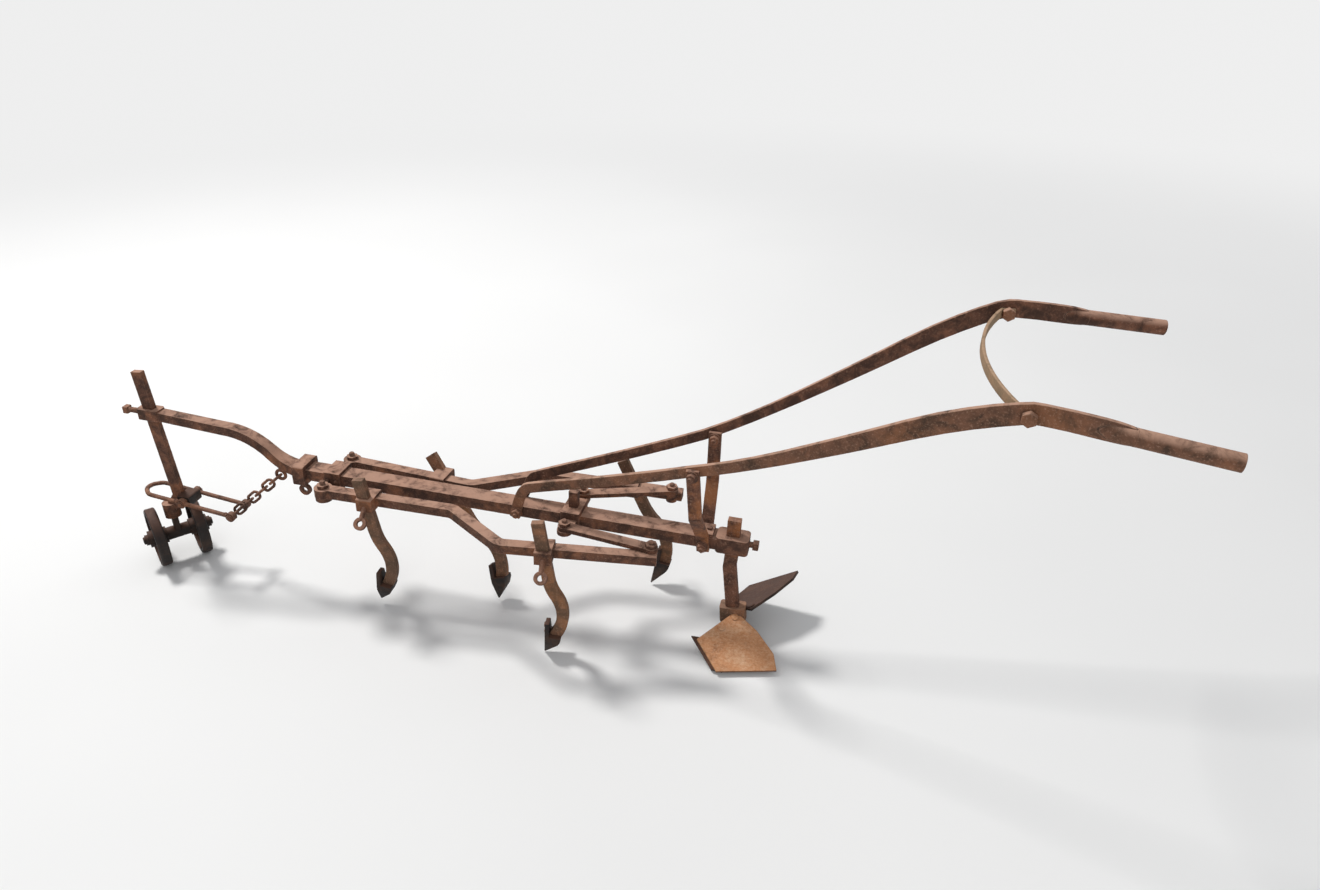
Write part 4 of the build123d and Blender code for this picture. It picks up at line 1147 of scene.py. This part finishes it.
class RIDGER_OT_ridging_body(bpy.types.Operator):
    """Dress the ridging body and bolt its wings to the frog"""

    bl_idname = "ridger.ridging_body"
    bl_label = "Ridging body"

    def execute(self, context):
        sizes = context.scene.ridger_sizes
        dressed("ridger_shank", "upright_rust")
        dressed("ridger_frog", "tine_rust")
        dressed("ridger_shares", "point_iron")
        for side, word in SIDES.items():
            # The far wing and its bolts take a dark finish, which is painted shade
            finish = "wing_plate" if side > 0 else "dark_wing_plate"
            dressed(f"{word}_wing", finish)
            seats = [on_wing(side, along, across) for along, across in WING_BOLTS]
            bolts = copies(plough_bolt(sizes), seats)
            fitted(bolts, f"{word}_wing_bolts", "frame", finish)
        return {"FINISHED"}


# Area lamps. Columns: name, place in metres, width in metres, power in watts
LAMPS = [
    ("key", (4.4, -2.2, 7.2), 1.6, 520),
    ("fill", (-1.6, 5.4, 4.0), 3.0, 60),
    ("rim", (-3.4, -4.0, 4.6), 3.0, 20),
]
LAMP_TARGET = (0, 0, 0.3)

# The camera as the photograph's was: place in metres, heading over the floor, pitch and roll
# in degrees, focal length for a sensor 36 mm wide
CAMERA_PLACE = (-0.6286, 1.7814, 1.5)
CAMERA_HEADING = (0.2334, -0.9724)
CAMERA_PITCH = 28.91
CAMERA_ROLL = -0.7
CAMERA_LENS = 26.39


def camera_turn():
    """The camera's turn: x to its right, y to its top and z back towards the viewer."""
    pitch, roll = radians(CAMERA_PITCH), radians(CAMERA_ROLL)
    east, north = CAMERA_HEADING
    ahead = Vector((east * cos(pitch), north * cos(pitch), -sin(pitch)))
    right = ahead.cross(Vector((0, 0, 1))).normalized()
    top = right.cross(ahead)
    rolled = right * cos(roll) + top * sin(roll)
    crown = top * cos(roll) - right * sin(roll)
    return Matrix((rolled, crown, -ahead)).transposed().to_4x4()


class RIDGER_OT_stage(bpy.types.Operator):
    """Lay the floor, set the lamps and put the camera in its place"""

    bl_idname = "ridger.stage"
    bl_label = "Stage"

    def execute(self, context):
        scene = context.scene
        floor = started("plane", size=80, location=(0, 0, 0))
        with editing(floor, "FACE"):
            bpy.ops.mesh.select_all(action="SELECT")
            bpy.ops.mesh.subdivide(number_cuts=3)
        floor.name = "floor"
        floor.data.materials.append(studio_floor(scene.ridger_colours.floor[:]))
        for name, spot, width, power in LAMPS:
            lamp = bpy.data.lights.new(name, "AREA")
            lamp.shape = "DISK"
            lamp.size = width
            lamp.energy = power
            holder = bpy.data.objects.new(name, lamp)
            holder.location = spot
            away = Vector(spot) - Vector(LAMP_TARGET)
            holder.rotation_euler = away.to_track_quat("Z", "Y").to_euler()
            scene.collection.objects.link(holder)
        scene.world = soft_sky()
        scene.view_settings.view_transform = "Standard"
        lens = bpy.data.cameras.new("camera")
        lens.sensor_width = 36
        lens.lens = CAMERA_LENS
        camera = bpy.data.objects.new("camera", lens)
        camera.matrix_world = Matrix.Translation(CAMERA_PLACE) @ camera_turn()
        scene.collection.objects.link(camera)
        scene.camera = camera
        return {"FINISHED"}


PIECES = (
    RIDGER_OT_finishes,
    RIDGER_OT_beam,
    RIDGER_OT_wheel_foot,
    RIDGER_OT_draught,
    RIDGER_OT_arms,
    RIDGER_OT_spreader,
    RIDGER_OT_handles,
    RIDGER_OT_ridging_body,
    RIDGER_OT_stage,
)


class RIDGER_PT_pieces(bpy.types.Panel):
    """Lists the pieces in the order in which they are made"""

    bl_idname = "RIDGER_PT_pieces"
    bl_label = "Ridging hoe"
    bl_space_type = "VIEW_3D"
    bl_region_type = "UI"
    bl_category = "Ridger"

    def draw(self, context):
        for piece in PIECES:
            self.layout.operator(piece.bl_idname)


CLASSES = (RidgerColours, RidgerSizes, *PIECES, RIDGER_PT_pieces)


def register():
    for cls in CLASSES:
        bpy.utils.register_class(cls)
    bpy.types.Scene.ridger_colours = bpy.props.PointerProperty(type=RidgerColours)
    bpy.types.Scene.ridger_sizes = bpy.props.PointerProperty(type=RidgerSizes)


def unregister():
    del bpy.types.Scene.ridger_sizes
    del bpy.types.Scene.ridger_colours
    for cls in reversed(CLASSES):
        bpy.utils.unregister_class(cls)


def main():
    register()
    for piece in PIECES:
        group, name = piece.bl_idname.split(".")
        getattr(getattr(bpy.ops, group), name)()


if __name__ == "__main__":
    main()
